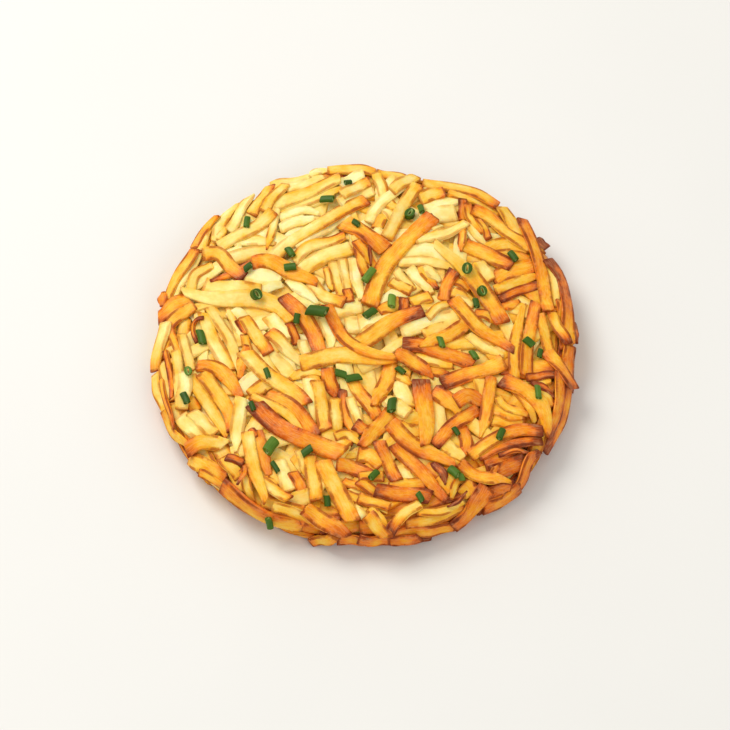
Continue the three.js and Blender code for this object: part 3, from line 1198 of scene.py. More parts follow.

# %% [markdown]
# ## Strips that catch the eye
# The strips on top are what a guest sees, so they are laid one by one. Each row gives a strip's
# width in picture points, three digits that say how brown its first end, its middle and its last
# end are, from 0 for cream to 9 for nearly burnt, its kind, and the points of the picture that it
# passes. A few thin dark rows are painted shadow: dark strips laid where only shade lies between
# other strips. The rows are in order of laying: the first list lies lowest.

# %% Low layer
LOW_STRIPS = (
    # far rim and upper left
    (9, "666", "square", (316, 177), (330, 176), (346, 174)),
    (8, "445", "square", (327, 170), (350, 167), (377, 173)),
    (7, "222", "spindle", (309, 172), (319, 168), (330, 171)),
    (10, "333", "tapered", (270, 187), (296, 182), (311, 175)),
    (9, "334", "tapered", (276, 212), (300, 203), (325, 196), (345, 186)),
    (10, "334", "tapered", (216, 243), (222, 223), (239, 203)),
    (11, "334", "tapered", (199, 252), (205, 235), (219, 216)),
    (7, "666", "tapered", (193, 249), (203, 233), (218, 215)),
    (7, "334", "spindle", (217, 240), (226, 226)),
    (10, "123", "spindle", (234, 245), (252, 241), (276, 244)),
    (12, "235", "square", (227, 261), (246, 254), (264, 253), (285, 256)),
    (14, "011", "tapered", (293, 246), (323, 227), (350, 214)),
    (8, "112", "tapered", (279, 219), (301, 210), (321, 214)),
    (9, "111", "tapered", (279, 229), (296, 222), (316, 218)),
    (16, "001", "square", (246, 274), (262, 277), (280, 284)),
    (10, "112", "tapered", (238, 286), (262, 289), (284, 284)),
    (10, "445", "square", (251, 215), (262, 198), (271, 186)),
    (14, "333", "square", (204, 285), (230, 289), (262, 292)),
    (11, "223", "tapered", (168, 312), (175, 291), (187, 273), (200, 252)),
    (8, "456", "square", (165, 304), (171, 289), (182, 270), (195, 249)),
    (8, "776", "spindle", (162, 307), (163, 292)),
    (9, "344", "slanted", (190, 292), (196, 274), (214, 264)),
    (13, "775", "slanted", (158, 320), (173, 307), (191, 299)),
    (10, "655", "square", (167, 328), (181, 314), (195, 305)),
    (8, "665", "tapered", (169, 328), (176, 345), (181, 364)),
    (10, "333", "square", (181, 334), (186, 350), (191, 372)),
    (13, "433", "slanted", (203, 311), (213, 340), (231, 372)),
    (11, "332", "tapered", (209, 307), (227, 335), (240, 371)),
    (8, "332", "spindle", (227, 309), (236, 325), (245, 343)),
    (14, "111", "square", (268, 316), (280, 330), (284, 340)),
    (9, "456", "tapered", (244, 335), (248, 350), (256, 372)),
    (12, "666", "spindle", (247, 345), (243, 362), (239, 380)),
    (12, "622", "tapered", (269, 331), (284, 346), (304, 366)),
    (9, "777", "square", (289, 323), (297, 345)),
    (10, "111", "square", (302, 340), (308, 362)),
    (16, "111", "square", (333, 311), (362, 305)),
    (14, "111", "square", (345, 327), (372, 322)),
    (10, "112", "pointed", (322, 316), (330, 335), (332, 353)),
    (10, "234", "square", (332, 262), (337, 280), (343, 298)),
    (9, "223", "square", (342, 259), (345, 276), (349, 293)),
    (11, "112", "tapered", (353, 258), (357, 280), (361, 301)),
    (7, "434", "pointed", (326, 267), (329, 280), (333, 291)),
    (9, "655", "square", (347, 289), (350, 302)),
    (12, "235", "square", (312, 282), (322, 296), (345, 303)),
    (12, "101", "spindle", (287, 280), (302, 290), (318, 305)),
    # far rim and upper right
    (8, "455", "square", (376, 173), (392, 176), (408, 181)),
    (16, "111", "square", (386, 181), (398, 187)),
    (10, "333", "square", (376, 173), (381, 185), (385, 197)),
    (11, "111", "square", (340, 186), (352, 181), (365, 176)),
    (9, "222", "square", (338, 203), (356, 196), (374, 190)),
    (9, "236", "slanted", (341, 196), (356, 188), (371, 181)),
    (12, "444", "tapered", (376, 229), (384, 214)),
    (10, "223", "square", (385, 209), (394, 222)),
    (9, "111", "spindle", (374, 229), (387, 241)),
    (10, "333", "square", (388, 204), (398, 210)),
    (11, "111", "tapered", (368, 223), (382, 202), (406, 187)),
    (15, "001", "square", (424, 208), (458, 199)),
    (15, "111", "square", (420, 219), (456, 212)),
    (9, "444", "tapered", (447, 193), (466, 198), (486, 206), (501, 215)),
    (9, "447", "square", (422, 183), (448, 187), (477, 193), (499, 206)),
    (11, "344", "slanted", (501, 206), (510, 221), (524, 240)),
    (9, "889", "square", (535, 239), (547, 249)),
    (12, "111", "tapered", (403, 256), (426, 250), (452, 262)),
    (9, "123", "tapered", (398, 263), (428, 261), (456, 269)),
    (14, "011", "spindle", (466, 231), (485, 241), (505, 237)),
    (12, "223", "tapered", (470, 222), (480, 236), (500, 246)),
    (12, "444", "tapered", (485, 252), (506, 244), (529, 251)),
    (10, "445", "square", (486, 258), (510, 256), (530, 262)),
    (15, "555", "square", (493, 281), (513, 271), (534, 266)),
    (10, "444", "tapered", (494, 291), (516, 283), (538, 276)),
    (9, "555", "spindle", (500, 309), (520, 301)),
    (8, "777", "square", (499, 300), (518, 291), (540, 285)),
    (9, "223", "tapered", (547, 262), (555, 283), (557, 308)),
    (10, "445", "square", (560, 300), (564, 325), (566, 350)),
    (9, "223", "square", (395, 270), (414, 291)),
    (11, "112", "tapered", (408, 268), (421, 280), (433, 294)),
    (10, "348", "spindle", (419, 266), (438, 289)),
    (10, "344", "square", (390, 281), (401, 287), (412, 291)),
    (13, "334", "square", (410, 303), (431, 296)),
    (10, "111", "spindle", (424, 266), (440, 282)),
    (9, "555", "square", (451, 279), (470, 290)),
    (10, "344", "tapered", (451, 291), (473, 304)),
    (8, "112", "square", (455, 298), (474, 306)),
    (9, "655", "tapered", (474, 313), (487, 315), (502, 322)),
    (14, "223", "square", (478, 262), (490, 282)),
    (20, "111", "square", (428, 318), (456, 312)),
    (17, "112", "square", (400, 332), (430, 322), (460, 318)),
    (10, "556", "spindle", (427, 370), (449, 374)),
    (12, "333", "tapered", (423, 336), (440, 330), (462, 322)),
    (19, "111", "square", (358, 325), (392, 318)),
    (14, "112", "tapered", (362, 337), (388, 328)),
    (12, "444", "square", (378, 312), (402, 302)),
    (10, "777", "square", (404, 298), (404, 311)),
    (9, "122", "tapered", (467, 335), (485, 348), (505, 356)),
    (10, "445", "tapered", (540, 313), (546, 342), (558, 372)),
    (5, "888", "spindle", (575, 323), (577, 344)),
    (11, "444", "tapered", (514, 380), (517, 330), (524, 303)),
    (12, "556", "slanted", (526, 380), (530, 330), (537, 301)),
    # near rim and lower left
    (8, "344", "square", (155, 374), (157, 392), (167, 412)),
    (9, "344", "square", (163, 362), (166, 380), (171, 402)),
    (6, "788", "tapered", (165, 350), (170, 372), (171, 400)),
    (10, "333", "tapered", (176, 350), (179, 375), (177, 402)),
    (12, "236", "square", (166, 322), (160, 345), (155, 372)),
    (9, "334", "tapered", (173, 402), (180, 421), (195, 440)),
    (14, "223", "square", (181, 416), (192, 430), (206, 438)),
    (14, "223", "square", (192, 412), (203, 424), (214, 436)),
    (12, "445", "tapered", (190, 376), (203, 396), (220, 424), (229, 438)),
    (13, "123", "square", (186, 372), (184, 392), (181, 410)),
    (15, "456", "slanted", (190, 458), (206, 466), (227, 480)),
    (8, "555", "tapered", (199, 472), (212, 479), (224, 486)),
    (13, "666", "tapered", (257, 430), (262, 452), (270, 477)),
    (8, "766", "spindle", (249, 430), (257, 437)),
    (14, "334", "square", (232, 455), (236, 475), (246, 492)),
    (12, "444", "square", (222, 458), (240, 478)),
    (9, "445", "pointed", (243, 470), (248, 490), (255, 503)),
    (9, "555", "spindle", (262, 478), (278, 486)),
    (13, "112", "square", (279, 460), (284, 475), (290, 492)),
    (9, "223", "tapered", (299, 450), (303, 463), (307, 477)),
    (11, "566", "square", (293, 472), (300, 485), (305, 498)),
    (11, "334", "tapered", (271, 390), (283, 395), (299, 407)),
    (14, "000", "square", (240, 390), (253, 381), (266, 373)),
    (12, "444", "tapered", (250, 396), (262, 386), (278, 384)),
    (14, "122", "tapered", (268, 356), (280, 366), (296, 379)),
    (13, "222", "square", (260, 354), (268, 368), (276, 378)),
    (9, "334", "spindle", (289, 379), (308, 372), (325, 376)),
    (13, "667", "pointed", (326, 368), (331, 385), (336, 399)),
    (9, "864", "tapered", (343, 389), (344, 415), (359, 440)),
    (9, "112", "square", (350, 397), (354, 410), (360, 425)),
    (12, "334", "square", (335, 398), (336, 415), (337, 434)),
    (12, "112", "pointed", (308, 378), (312, 398), (316, 424)),
    (12, "334", "square", (320, 435), (335, 438), (350, 446)),
    (11, "766", "slanted", (354, 424), (370, 434)),
    (8, "433", "tapered", (334, 437), (346, 434), (360, 444)),
    (12, "557", "square", (336, 464), (352, 468), (371, 476)),
    (9, "544", "tapered", (342, 481), (357, 485), (371, 491)),
    (9, "444", "square", (345, 494), (358, 499), (371, 504)),
    (9, "112", "spindle", (354, 505), (362, 514), (371, 527)),
    (14, "222", "square", (288, 505), (298, 499), (310, 496)),
    (12, "334", "square", (262, 500), (285, 508), (305, 512)),
    (16, "765", "square", (222, 484), (242, 503), (266, 517), (304, 527)),
    (10, "346", "tapered", (272, 506), (297, 514), (320, 525), (337, 536)),
    (9, "666", "square", (338, 539), (355, 540), (373, 538)),
    (9, "555", "tapered", (163, 410), (171, 430), (189, 447)),
    # near rim and lower right
    (18, "334", "square", (492, 418), (507, 421), (524, 424)),
    (14, "222", "square", (477, 374), (482, 387), (487, 400)),
    (14, "223", "square", (442, 386), (456, 391), (468, 399)),
    (16, "344", "tapered", (489, 405), (505, 412), (525, 417)),
    (14, "744", "tapered", (432, 391), (449, 400), (460, 414)),
    (13, "566", "tapered", (455, 402), (469, 396), (487, 404)),
    (12, "333", "square", (393, 411), (406, 419), (421, 419)),
    (10, "333", "tapered", (396, 424), (408, 430), (421, 434)),
    (15, "112", "square", (399, 381), (403, 394), (408, 408)),
    (13, "112", "square", (385, 398), (398, 407), (410, 414)),
    (12, "666", "pointed", (461, 426), (466, 440), (466, 457)),
    (13, "222", "tapered", (440, 441), (452, 450), (464, 460)),
    (18, "677", "tapered", (484, 465), (505, 460), (528, 455)),
    (15, "677", "square", (490, 474), (508, 468), (524, 460)),
    # painted shadow: a thin dark strip laid along a band of shade
    (5, "777", "tapered", (498, 455), (512, 451), (530, 453)),
    (7, "555", "spindle", (490, 477), (499, 465)),
    (15, "111", "square", (396, 466), (409, 484)),
    (12, "455", "square", (388, 483), (407, 485), (426, 484)),
    (17, "333", "square", (440, 474), (455, 490)),
    (16, "334", "square", (462, 484), (474, 494)),
    # painted shadow: a dark wedge of strip laid where shade falls between strips
    (8, "899", "pointed", (433, 462), (441, 470), (446, 485)),
    (8, "444", "spindle", (458, 476), (454, 488), (451, 500)),
    (9, "344", "tapered", (497, 396), (507, 408), (529, 415)),
    (9, "333", "tapered", (512, 384), (524, 400), (536, 424)),
    (12, "334", "square", (531, 390), (545, 398), (551, 408)),
    (7, "578", "square", (526, 378), (543, 375), (559, 376)),
    (7, "888", "spindle", (531, 382), (547, 390), (555, 399)),
    (11, "677", "square", (570, 345), (569, 370), (569, 393)),
    (10, "678", "square", (568, 385), (563, 416), (553, 438), (544, 453)),
    (11, "667", "tapered", (560, 372), (560, 400), (549, 440)),
    (11, "678", "tapered", (513, 494), (524, 474), (540, 450)),
    (13, "666", "square", (484, 497), (512, 486)),
    (13, "666", "slanted", (482, 508), (505, 499), (521, 485)),
    (10, "666", "square", (389, 536), (420, 531), (456, 527)),
    (10, "445", "square", (405, 524), (433, 520), (464, 506)),
    (9, "333", "tapered", (416, 512), (440, 512), (465, 501)),
    (9, "666", "square", (388, 541), (404, 540), (420, 537)),
    (9, "666", "square", (358, 539), (375, 541), (390, 541)),
    (10, "333", "tapered", (369, 508), (379, 518), (387, 528)),
    (13, "445", "slanted", (367, 514), (377, 526), (387, 538)),
    (10, "555", "square", (358, 481), (371, 490), (384, 498)),
    (10, "444", "square", (358, 497), (373, 502), (391, 507)),
    (10, "444", "square", (358, 477), (370, 476), (384, 477)),
    (9, "445", "tapered", (393, 371), (402, 378), (412, 385)),
    (9, "444", "spindle", (374, 410), (388, 392)),
    (13, "444", "square", (357, 454), (370, 456), (382, 466)),
)
print(len(LOW_STRIPS), "strips in the low layer")

# %% Middle layer
MIDDLE_STRIPS = (
    (10, "223", "tapered", (285, 189), (308, 183), (325, 176)),
    (12, "344", "slanted", (265, 208), (290, 199), (315, 190), (343, 177)),
    (9, "223", "slanted", (229, 233), (239, 214), (251, 195)),
    (9, "344", "square", (286, 184), (273, 197), (263, 212)),
    (8, "136", "pointed", (277, 207), (272, 230), (267, 250)),
    (16, "223", "square", (300, 271), (324, 257), (352, 247)),
    (11, "336", "slanted", (292, 263), (310, 246), (330, 242), (347, 234)),
    (7, "889", "spindle", (210, 281), (229, 275), (246, 265), (270, 257)),
    (6, "776", "pointed", (237, 320), (247, 334)),
    (12, "446", "square", (243, 317), (257, 337), (269, 354)),
    (9, "333", "square", (391, 191), (403, 182), (417, 177)),
    (11, "346", "square", (419, 199), (431, 195), (445, 191)),
    (12, "334", "square", (386, 239), (399, 214), (410, 195), (418, 184)),
    (9, "765", "square", (463, 199), (463, 221)),
    (12, "457", "square", (463, 244), (486, 253), (512, 267)),
    (8, "456", "pointed", (463, 226), (461, 252)),
    (8, "555", "tapered", (468, 203), (471, 220), (483, 234)),
    (7, "556", "square", (478, 219), (485, 229), (489, 239)),
    (10, "555", "square", (358, 246), (362, 262), (366, 276)),
    (10, "566", "tapered", (356, 240), (366, 254), (377, 268)),
    # painted shadow: a thin dark streak of strip laid where a shadow falls
    (4, "999", "spindle", (369, 244), (371, 266)),
    (15, "476", "slanted", (342, 221), (364, 233), (387, 252)),
    (12, "765", "slanted", (455, 270), (448, 283), (442, 302)),
    (8, "234", "tapered", (427, 318), (438, 307), (453, 300)),
    (9, "334", "tapered", (414, 357), (432, 362), (454, 366)),
    (14, "967", "slanted", (400, 346), (420, 344), (440, 353), (476, 364)),
    (12, "455", "pointed", (468, 324), (442, 338), (418, 347)),
    (7, "888", "spindle", (421, 220), (432, 214)),
    (5, "568", "pointed", (161, 378), (164, 395), (169, 410), (174, 430)),
    (14, "457", "tapered", (201, 373), (214, 389), (228, 410), (231, 433)),
    (13, "643", "pointed", (184, 453), (198, 443), (230, 441)),
    (6, "778", "spindle", (244, 463), (243, 475), (237, 485)),
    (9, "777", "square", (226, 457), (244, 463)),
    (14, "346", "slanted", (243, 350), (262, 371), (287, 387), (307, 407)),
    (13, "444", "square", (317, 381), (322, 409), (326, 431)),
    (11, "235", "slanted", (257, 478), (272, 489), (290, 500)),
    (13, "444", "square", (309, 455), (313, 478), (317, 501)),
    (8, "644", "square", (311, 543), (322, 540), (334, 535)),
    (12, "555", "square", (351, 380), (364, 398), (379, 418)),
    (14, "555", "tapered", (392, 362), (385, 385), (373, 407)),
    (14, "556", "tapered", (391, 411), (376, 430), (360, 447)),
    (12, "666", "square", (434, 446), (455, 424), (479, 409)),
    (11, "578", "square", (478, 457), (505, 445), (543, 441)),
    (14, "666", "square", (452, 527), (473, 508), (488, 487)),
    (4, "888", "spindle", (447, 507), (458, 502), (467, 491)),
    (11, "823", "slanted", (388, 537), (400, 518), (421, 503)),
    (12, "567", "pointed", (394, 354), (411, 360), (424, 369), (434, 379)),
)
print(len(MIDDLE_STRIPS), "strips in the middle layer")

# %% Top layer
TOP_STRIPS = (
    (11, "235", "square", (218, 247), (243, 234), (263, 222), (274, 211)),
    (11, "236", "square", (271, 259), (290, 242), (316, 226), (345, 209), (367, 199)),
    (12, "459", "square", (202, 254), (216, 253), (230, 266), (244, 278)),
    (14, "667", "tapered", (251, 263), (272, 262), (294, 273), (319, 284)),
    (16, "532", "tapered", (296, 321), (280, 306), (257, 299), (213, 299), (178, 291)),
    # painted shadow: a thin dark strip laid along a blurred band of shade
    (4, "878", "square", (204, 318), (194, 322), (193, 330), (197, 343)),
    (14, "877", "square", (283, 296), (300, 312), (313, 332), (321, 355)),
    (10, "222", "square", (415, 241), (442, 234), (467, 222)),
    (15, "642", "tapered", (504, 324), (485, 295), (463, 267), (432, 241)),
    (11, "645", "square", (472, 209), (492, 218), (507, 234), (533, 248)),
    (11, "765", "square", (522, 219), (533, 243), (540, 267), (549, 312)),
    (11, "985", "square", (547, 259), (560, 274), (566, 300), (570, 345)),
    (9, "448", "slanted", (551, 311), (559, 329), (570, 345)),
    (16, "556", "square", (368, 306), (388, 262), (411, 236), (434, 216)),
    (14, "459", "square", (355, 346), (378, 332), (398, 318), (424, 311)),
    (13, "558", "tapered", (452, 298), (474, 323), (492, 337), (516, 352)),
    (14, "667", "tapered", (196, 366), (213, 366), (231, 382), (243, 399)),
    (13, "222", "pointed", (241, 396), (238, 424), (235, 453)),
    (13, "345", "tapered", (248, 431), (253, 467), (266, 505)),
    (13, "567", "square", (266, 395), (290, 405), (305, 420), (316, 438)),
    (9, "444", "tapered", (250, 396), (272, 405), (292, 419), (304, 434)),
    (17, "985", "slanted", (251, 402), (279, 427), (309, 442), (346, 454)),
    (14, "446", "tapered", (299, 364), (328, 356), (362, 358), (398, 357)),
    (12, "765", "tapered", (326, 304), (335, 325), (353, 345), (372, 354), (398, 357)),
    (16, "445", "slanted", (322, 458), (337, 492), (355, 523)),
    (15, "557", "slanted", (303, 508), (323, 521), (346, 537)),
    (12, "666", "slanted", (379, 440), (386, 459), (398, 482)),
    (13, "667", "tapered", (394, 443), (419, 470), (448, 502)),
    (14, "566", "tapered", (389, 422), (411, 444), (433, 455), (458, 465)),
    (13, "777", "slanted", (373, 490), (401, 494), (433, 498)),
    (18, "855", "tapered", (420, 379), (425, 410), (426, 447)),
    (12, "554", "pointed", (491, 375), (487, 410), (480, 439)),
    (15, "854", "square", (441, 383), (470, 374), (505, 362)),
    (12, "554", "pointed", (459, 462), (483, 478), (513, 483)),
    (12, "457", "square", (470, 457), (490, 441), (517, 430), (544, 431)),
    (15, "745", "tapered", (501, 379), (526, 391), (545, 412), (550, 437)),
    (11, "557", "slanted", (546, 350), (561, 369), (577, 392)),
)
print(len(TOP_STRIPS), "strips in the top layer")

# %% [markdown]
# ## Laying the rows
# A row says where its strip is seen, but a strip that lies high on the pile is seen further up
# than the place it lies over. So each strip is laid on trial a few times and moved by what it
# missed, until the camera sees it where its row says. At the rim the wall turns away from the
# camera, and a strip that lay flat on it would be seen edge-on. There it leans out instead, as the
# outermost strips of a rosti do when they curl in the heat.

# %% Move until it is seen in place
SETTLING_ROUNDS = 3


def missed(points, spots):
    """How far the points of the picture lie from where spots in space are seen."""
    return np.array([point - picture_point(spot) for point, spot in zip(np.array(points), spots)])


def settled(points, spots_on):
    """Places of the map, moved till what rests on them is seen at the points of the picture."""
    aims = np.array(points, dtype=float)
    for _ in range(SETTLING_ROUNDS):
        places = np.array([place_at(aim) for aim in aims])
        aims = aims + missed(points, spots_on(places))
    return np.array([place_at(aim) for aim in aims])


# %% Lean out at the rim
LEANS_BELOW = 0.6
LEAN_OUT = 0.8


def leaning_out(up):
    """The way up of a strip at the rim, which leans out, so that it is seen broad from above."""
    away = np.clip(1 - up @ -view_ahead / LEANS_BELOW, 0, 1)
    return unit(up - LEAN_OUT * away[:, None] * view_ahead)


def seen_share(path):
    """How much of a flat strip's width is seen, where the skin under it turns away."""
    path = smooth_path(path, STATIONS)
    along = np.gradient(skin(path), axis=0)
    across = unit(np.cross(leaning_out(skin_normal(path)), along))
    seen_across = unit(np.cross(view_ahead, along))
    return np.abs((across * seen_across).sum(axis=1)).mean()


# %% [markdown]
# A strip is cut a little wider than it is seen, because its neighbours cover its edges, and wider
# again where it is seen aslant. Broad strips are thicker, as a coarse grater leaves them. What
# still misses its place after settling is moved the rest of the way, but never so far that the
# strip would stand off the cake.

# %% Lay them
CUT_WIDER = 1.12
LEAST_SEEN = 0.5
BROADEST = 8.2 * MM
THICKNESS_SHARE = 0.36
THINNEST = 1.4 * MM
THICKEST = 2.6 * MM
MOST_OVERHANG = 5
TONE_STEP = 0.1
# painted shade of the listed strips: browner away from the key lamp
ROW_BROWNING_AND_PAINTED_SHADE_SLOPE = 0.09


def cut_width(points_wide, points):
    """How wide a strip is cut that is seen so many points wide."""
    width = points_wide * POINT * CUT_WIDER
    share = seen_share([place_at(point) for point in points])
    return max(width, min(width / max(share, LEAST_SEEN), BROADEST))


def moved_over(rest, shares, short):
    """Frames of a resting strip, moved over by the picture points it falls short, and leant out."""
    right, down = np.clip(short, -MOST_OVERHANG, MOST_OVERHANG).T * POINT
    out = np.outer(right, view_right) - np.outer(down, view_up)
    stations = np.linspace(0, 1, STATIONS)
    middle = rest.middle + np.stack([np.interp(stations, shares, way) for way in out.T], axis=1)
    across = unit(np.cross(leaning_out(rest.up), rest.along))
    return middle, rest.along, across, unit(np.cross(rest.along, across))


def lay_rows(rows):
    """Lays a list of strips. Each comes back with how brown it is painted on average, painted shade
    towards the near right included.
    """
    laid = []
    for points_wide, tones, kind, *points in rows:
        thickness = np.clip(points_wide * POINT * THICKNESS_SHARE, THINNEST, THICKEST)
        width = cut_width(points_wide, points)

        def spots_on(places):
            middle = Rest(pile, places, width, thickness).middle
            return at_shares(walked(places) / walked(places)[-1], middle)

        path = settled(points, spots_on)
        shares = walked(path) / walked(path)[-1]
        rest = Rest(pile, path, width, thickness)
        rest.raise_pile(pile)
        frames = moved_over(rest, shares, missed(points, at_shares(shares, rest.middle)))
        browning = np.array([int(tone) for tone in tones]) * TONE_STEP
        # Painted shade: strips towards the near right, away from the key lamp, are painted browner.
        browning = np.clip(browning + ROW_BROWNING_AND_PAINTED_SHADE_SLOPE * (path[0] @ BROWNING_AND_PAINTED_SHADE_WAY) / skin_radius, 0, 1)
        laid.append((browning.mean(), bent_copy(kind, frames, width, thickness, browning)))
    print(len(laid), "strips laid, the pile is", round(pile.heights.max() / MM, 1), "mm high")
    return laid


seen_strips = lay_rows(LOW_STRIPS) + lay_rows(MIDDLE_STRIPS) + lay_rows(TOP_STRIPS)

# %% [markdown]
# ## Joining by shade
# The strips that were laid one by one are joined into three pieces: pale, golden and browned. One
# piece for each strip would be hundreds, and one piece for all would have more faces than a
# reusable part should. The strips of the side, the wall and the bed are a piece each.

# %% Shades
PALE_BELOW = 0.3
BROWNED_ABOVE = 0.56


def shade_of(fried):
    """The shade of a strip that is this brown on average."""
    if fried < PALE_BELOW:
        return "pale"
    return "browned" if fried > BROWNED_ABOVE else "golden"


laid_pieces = [
    join_copies("side_strips", side_strips, potato),
    join_copies("wall_strips", wall_strips, potato),
    join_copies("bed_strips", bed_strips, potato),
]
for shade in ("pale", "golden", "browned"):
    strips = [strip for fried, strip in seen_strips if shade_of(fried) == shade]
    laid_pieces.append(join_copies(shade + "_strips", strips, potato))

# %% [markdown]
# ## Chives
# Chives are hollow leaves, cut across into short tubes. The knife squashes the leaf, so the hole is
# a slit. A tube could be two cylinders, one cut out of the other, but that leaves ragged faces. So
# the pattern is one cylinder: its two ends are inset, the inner rings are squeezed to a slit, and a
# bridge between them makes the hole. The first inset has no width, only a little depth, and keeps
# the rim crisp when the tube is rounded.

# %% Chive pattern
CHIVE_SIDES = 8
CHIVE_LENGTH = 2
CHIVE_WALL = 0.38
CHIVE_SLIT = 0.34
CHIVE_RINGS = 1
CHIVE_RIM = 0.07


def closes_tube(mesh, face):
    return abs(face.normal.z) > HALF_TURNED


def runs_along_tube(mesh, edge):
    a, b = (mesh.vertices[i].co for i in edge.vertices)
    return abs(a.z - b.z) > CHIVE_LENGTH / 2


def chive_pattern():
    """A hollow tube of radius 1, along the z axis."""
    bpy.ops.object.select_all(action="DESELECT")
    body = CHIVE_LENGTH - 2 * CHIVE_RIM
    bpy.ops.mesh.primitive_cylinder_add(vertices=CHIVE_SIDES, radius=1, depth=body, end_fill_type="NGON")
    tube = bpy.context.object
    tube.name = "chive"
    pick(tube, "faces", closes_tube)
    bpy.ops.mesh.inset(thickness=0, depth=CHIVE_RIM)
    bpy.ops.mesh.inset(thickness=CHIVE_RIM)
    bpy.ops.mesh.inset(thickness=CHIVE_WALL - CHIVE_RIM)
    bpy.ops.transform.resize(value=(CHIVE_SLIT, 1, 1))
    bpy.ops.mesh.bridge_edge_loops()
    pick(tube, "edges", runs_along_tube)
    bpy.ops.mesh.subdivide(number_cuts=CHIVE_RINGS)
    return finish_pattern(tube, ("grain", "tone"))


chive = chive_pattern()
print("faces in a chive:", len(chive.data.polygons))

# %% [markdown]
# A cut leaf is dark green outside with fine lines along it, and paler inside. Where a point lies in
# the tube, which each chive remembers, tells the inside from the outside.

# %% Chive material
LEAF_SHADES = (
    (0.0, seen(44, 74, 8)),
    (0.4, seen(68, 104, 18)),
    (0.75, seen(112, 142, 44)),
    (1.0, seen(162, 188, 92)),
)
INSIDE_SHADE = seen(176, 196, 116)
INSIDE_FROM = (0.9, 0.6)
INSIDE_SHOWS = 0.75
LEAF_LINES = (1.3, 2.0)
LINES_ACROSS = 3.0
LINES_ALONG = 0.35
LEAF_CLOUDS = (0.6, 2.0)
CLOUD_SHADE = 0.4
LINE_SHADE = 0.3
LEAF_RELIEF = (0.3, 0.2 * MM)
LEAF_ROUGHNESS = (0.3, 0.7, 0.38, 0.5)
LEAF_FLESH = {
    "Specular IOR Level": 0.25,
    "Subsurface Weight": 0.15,
    "Subsurface Radius": (0.5, 1.0, 0.1),
    "Subsurface Scale": 0.8 * MM,
}


def fresh_chive(name):
    recipe = Recipe(name)
    x, y, z = recipe.parts(recipe.attribute("grain"))
    shade, seed = recipe.parts(recipe.attribute("tone"))[:2]
    line_place = recipe.vector(x * LINES_ACROSS + seed, y * LINES_ACROSS, z * LINES_ALONG)
    lines = recipe.noise(line_place, *LEAF_LINES)
    clouds = recipe.noise(recipe.vector(x + seed, y, z), *LEAF_CLOUDS)
    shade = shade + (clouds - MEAN_NOISE) * CLOUD_SHADE + (lines - MEAN_NOISE) * LINE_SHADE
    reach = ((x / CHIVE_SLIT) ** 2 + y * y) ** 0.5
    inside = recipe.step(reach, *INSIDE_FROM) * INSIDE_SHOWS
    surface = {
        "Base Color": recipe.blend(inside, recipe.ramp(LEAF_SHADES, shade), INSIDE_SHADE),
        "Roughness": recipe.step(lines, *LEAF_ROUGHNESS),
        "Normal": recipe.relief(lines, *LEAF_RELIEF),
    }
    return recipe.finish({**surface, **LEAF_FLESH})


# %% [markdown]
# ## Where a chive lies
# A chive is stiffer than potato. It doesn't bend over what lies under it, but rests on the highest
# of three spots along it: its ends and its middle. Its place follows from three directions: along
# the tube, across it, and up from the pile. Some stand up on their cut end.

# %% Rest a chive on the pile
CHIVE_SINK = 0.35 * MM
CHIVE_SQUASH = 0.72
FOOT = 1.5 * MM
PATCH = np.array([(u, v) for u in (-FOOT, 0, FOOT) for v in (-FOOT, 0, FOOT)])


def chive_rest(place, forward, radius, length, lift):
    """Where a chive's middle lies over a place, and its directions along, across and up."""
    spots = [place + step * forward for step in (-1, 0, 1)]
    felt = np.array([np.percentile(pile.feel(spot + PATCH), BED_SHARE) for spot in spots])
    felt = np.maximum(felt, felt.max() - MOST_LEAN * length)
    tops = [skin(spot) + skin_normal(spot) * height for spot, height in zip(spots, felt)]
    flat = unit(tops[2] - tops[0])
    across = unit(np.cross(skin_normal(place), flat))
    up = np.cross(flat, across)
    middle = (tops[0] + tops[2]) / 2
    ground = middle + up * max(up @ (tops[1] - middle), 0)
    along = flat * math.cos(lift) + up * math.sin(lift)
    height = radius * CHIVE_SQUASH * math.cos(lift) + length / 2 * math.sin(lift) - CHIVE_SINK
    return ground + up * height, along, across, np.cross(along, across)


# %% [markdown]
# The pile is a map of heights, and the finished strips are rounder than it knows. So a chive that
# rests on the map may hover over them. Each is moved on along the view, which leaves it at its
# place in the picture, until the first of its corners presses into the strips.

# %% Press a chive into the strips
CHIVE_PRESS = 0.5 * MM
CHIVE_FEELER = 4 * MM


def surface_of(pieces):
    """The finished surface of pieces, which rays can be sent at."""
    places, faces = [], []
    for piece in pieces:
        before = len(places)
        places += [corner.co for corner in piece.data.vertices]
        faces += [[before + i for i in face.vertices] for face in piece.data.polygons]
    return BVHTree.FromPolygons(places, faces)


strips_surface = surface_of(laid_pieces)


def pressed_in(solid):
    """Points of a chive, moved on along the view until they press into the strips."""
    starts = [Vector(start) for start in solid - view_ahead * CHIVE_FEELER]
    walks = [strips_surface.ray_cast(start, Vector(view_ahead))[3] for start in starts]
    depth = CHIVE_FEELER - min(walk for walk in walks if walk is not None)
    return solid + view_ahead * max(CHIVE_PRESS - depth, 0)


# %% [markdown]
# ## Scattering the chives
# The cook drops them from above, so they point every way. Each row is one piece. A leaf bows a
# little, its ends are cut aslant, and a piece that stands up is rounder than one that lies.

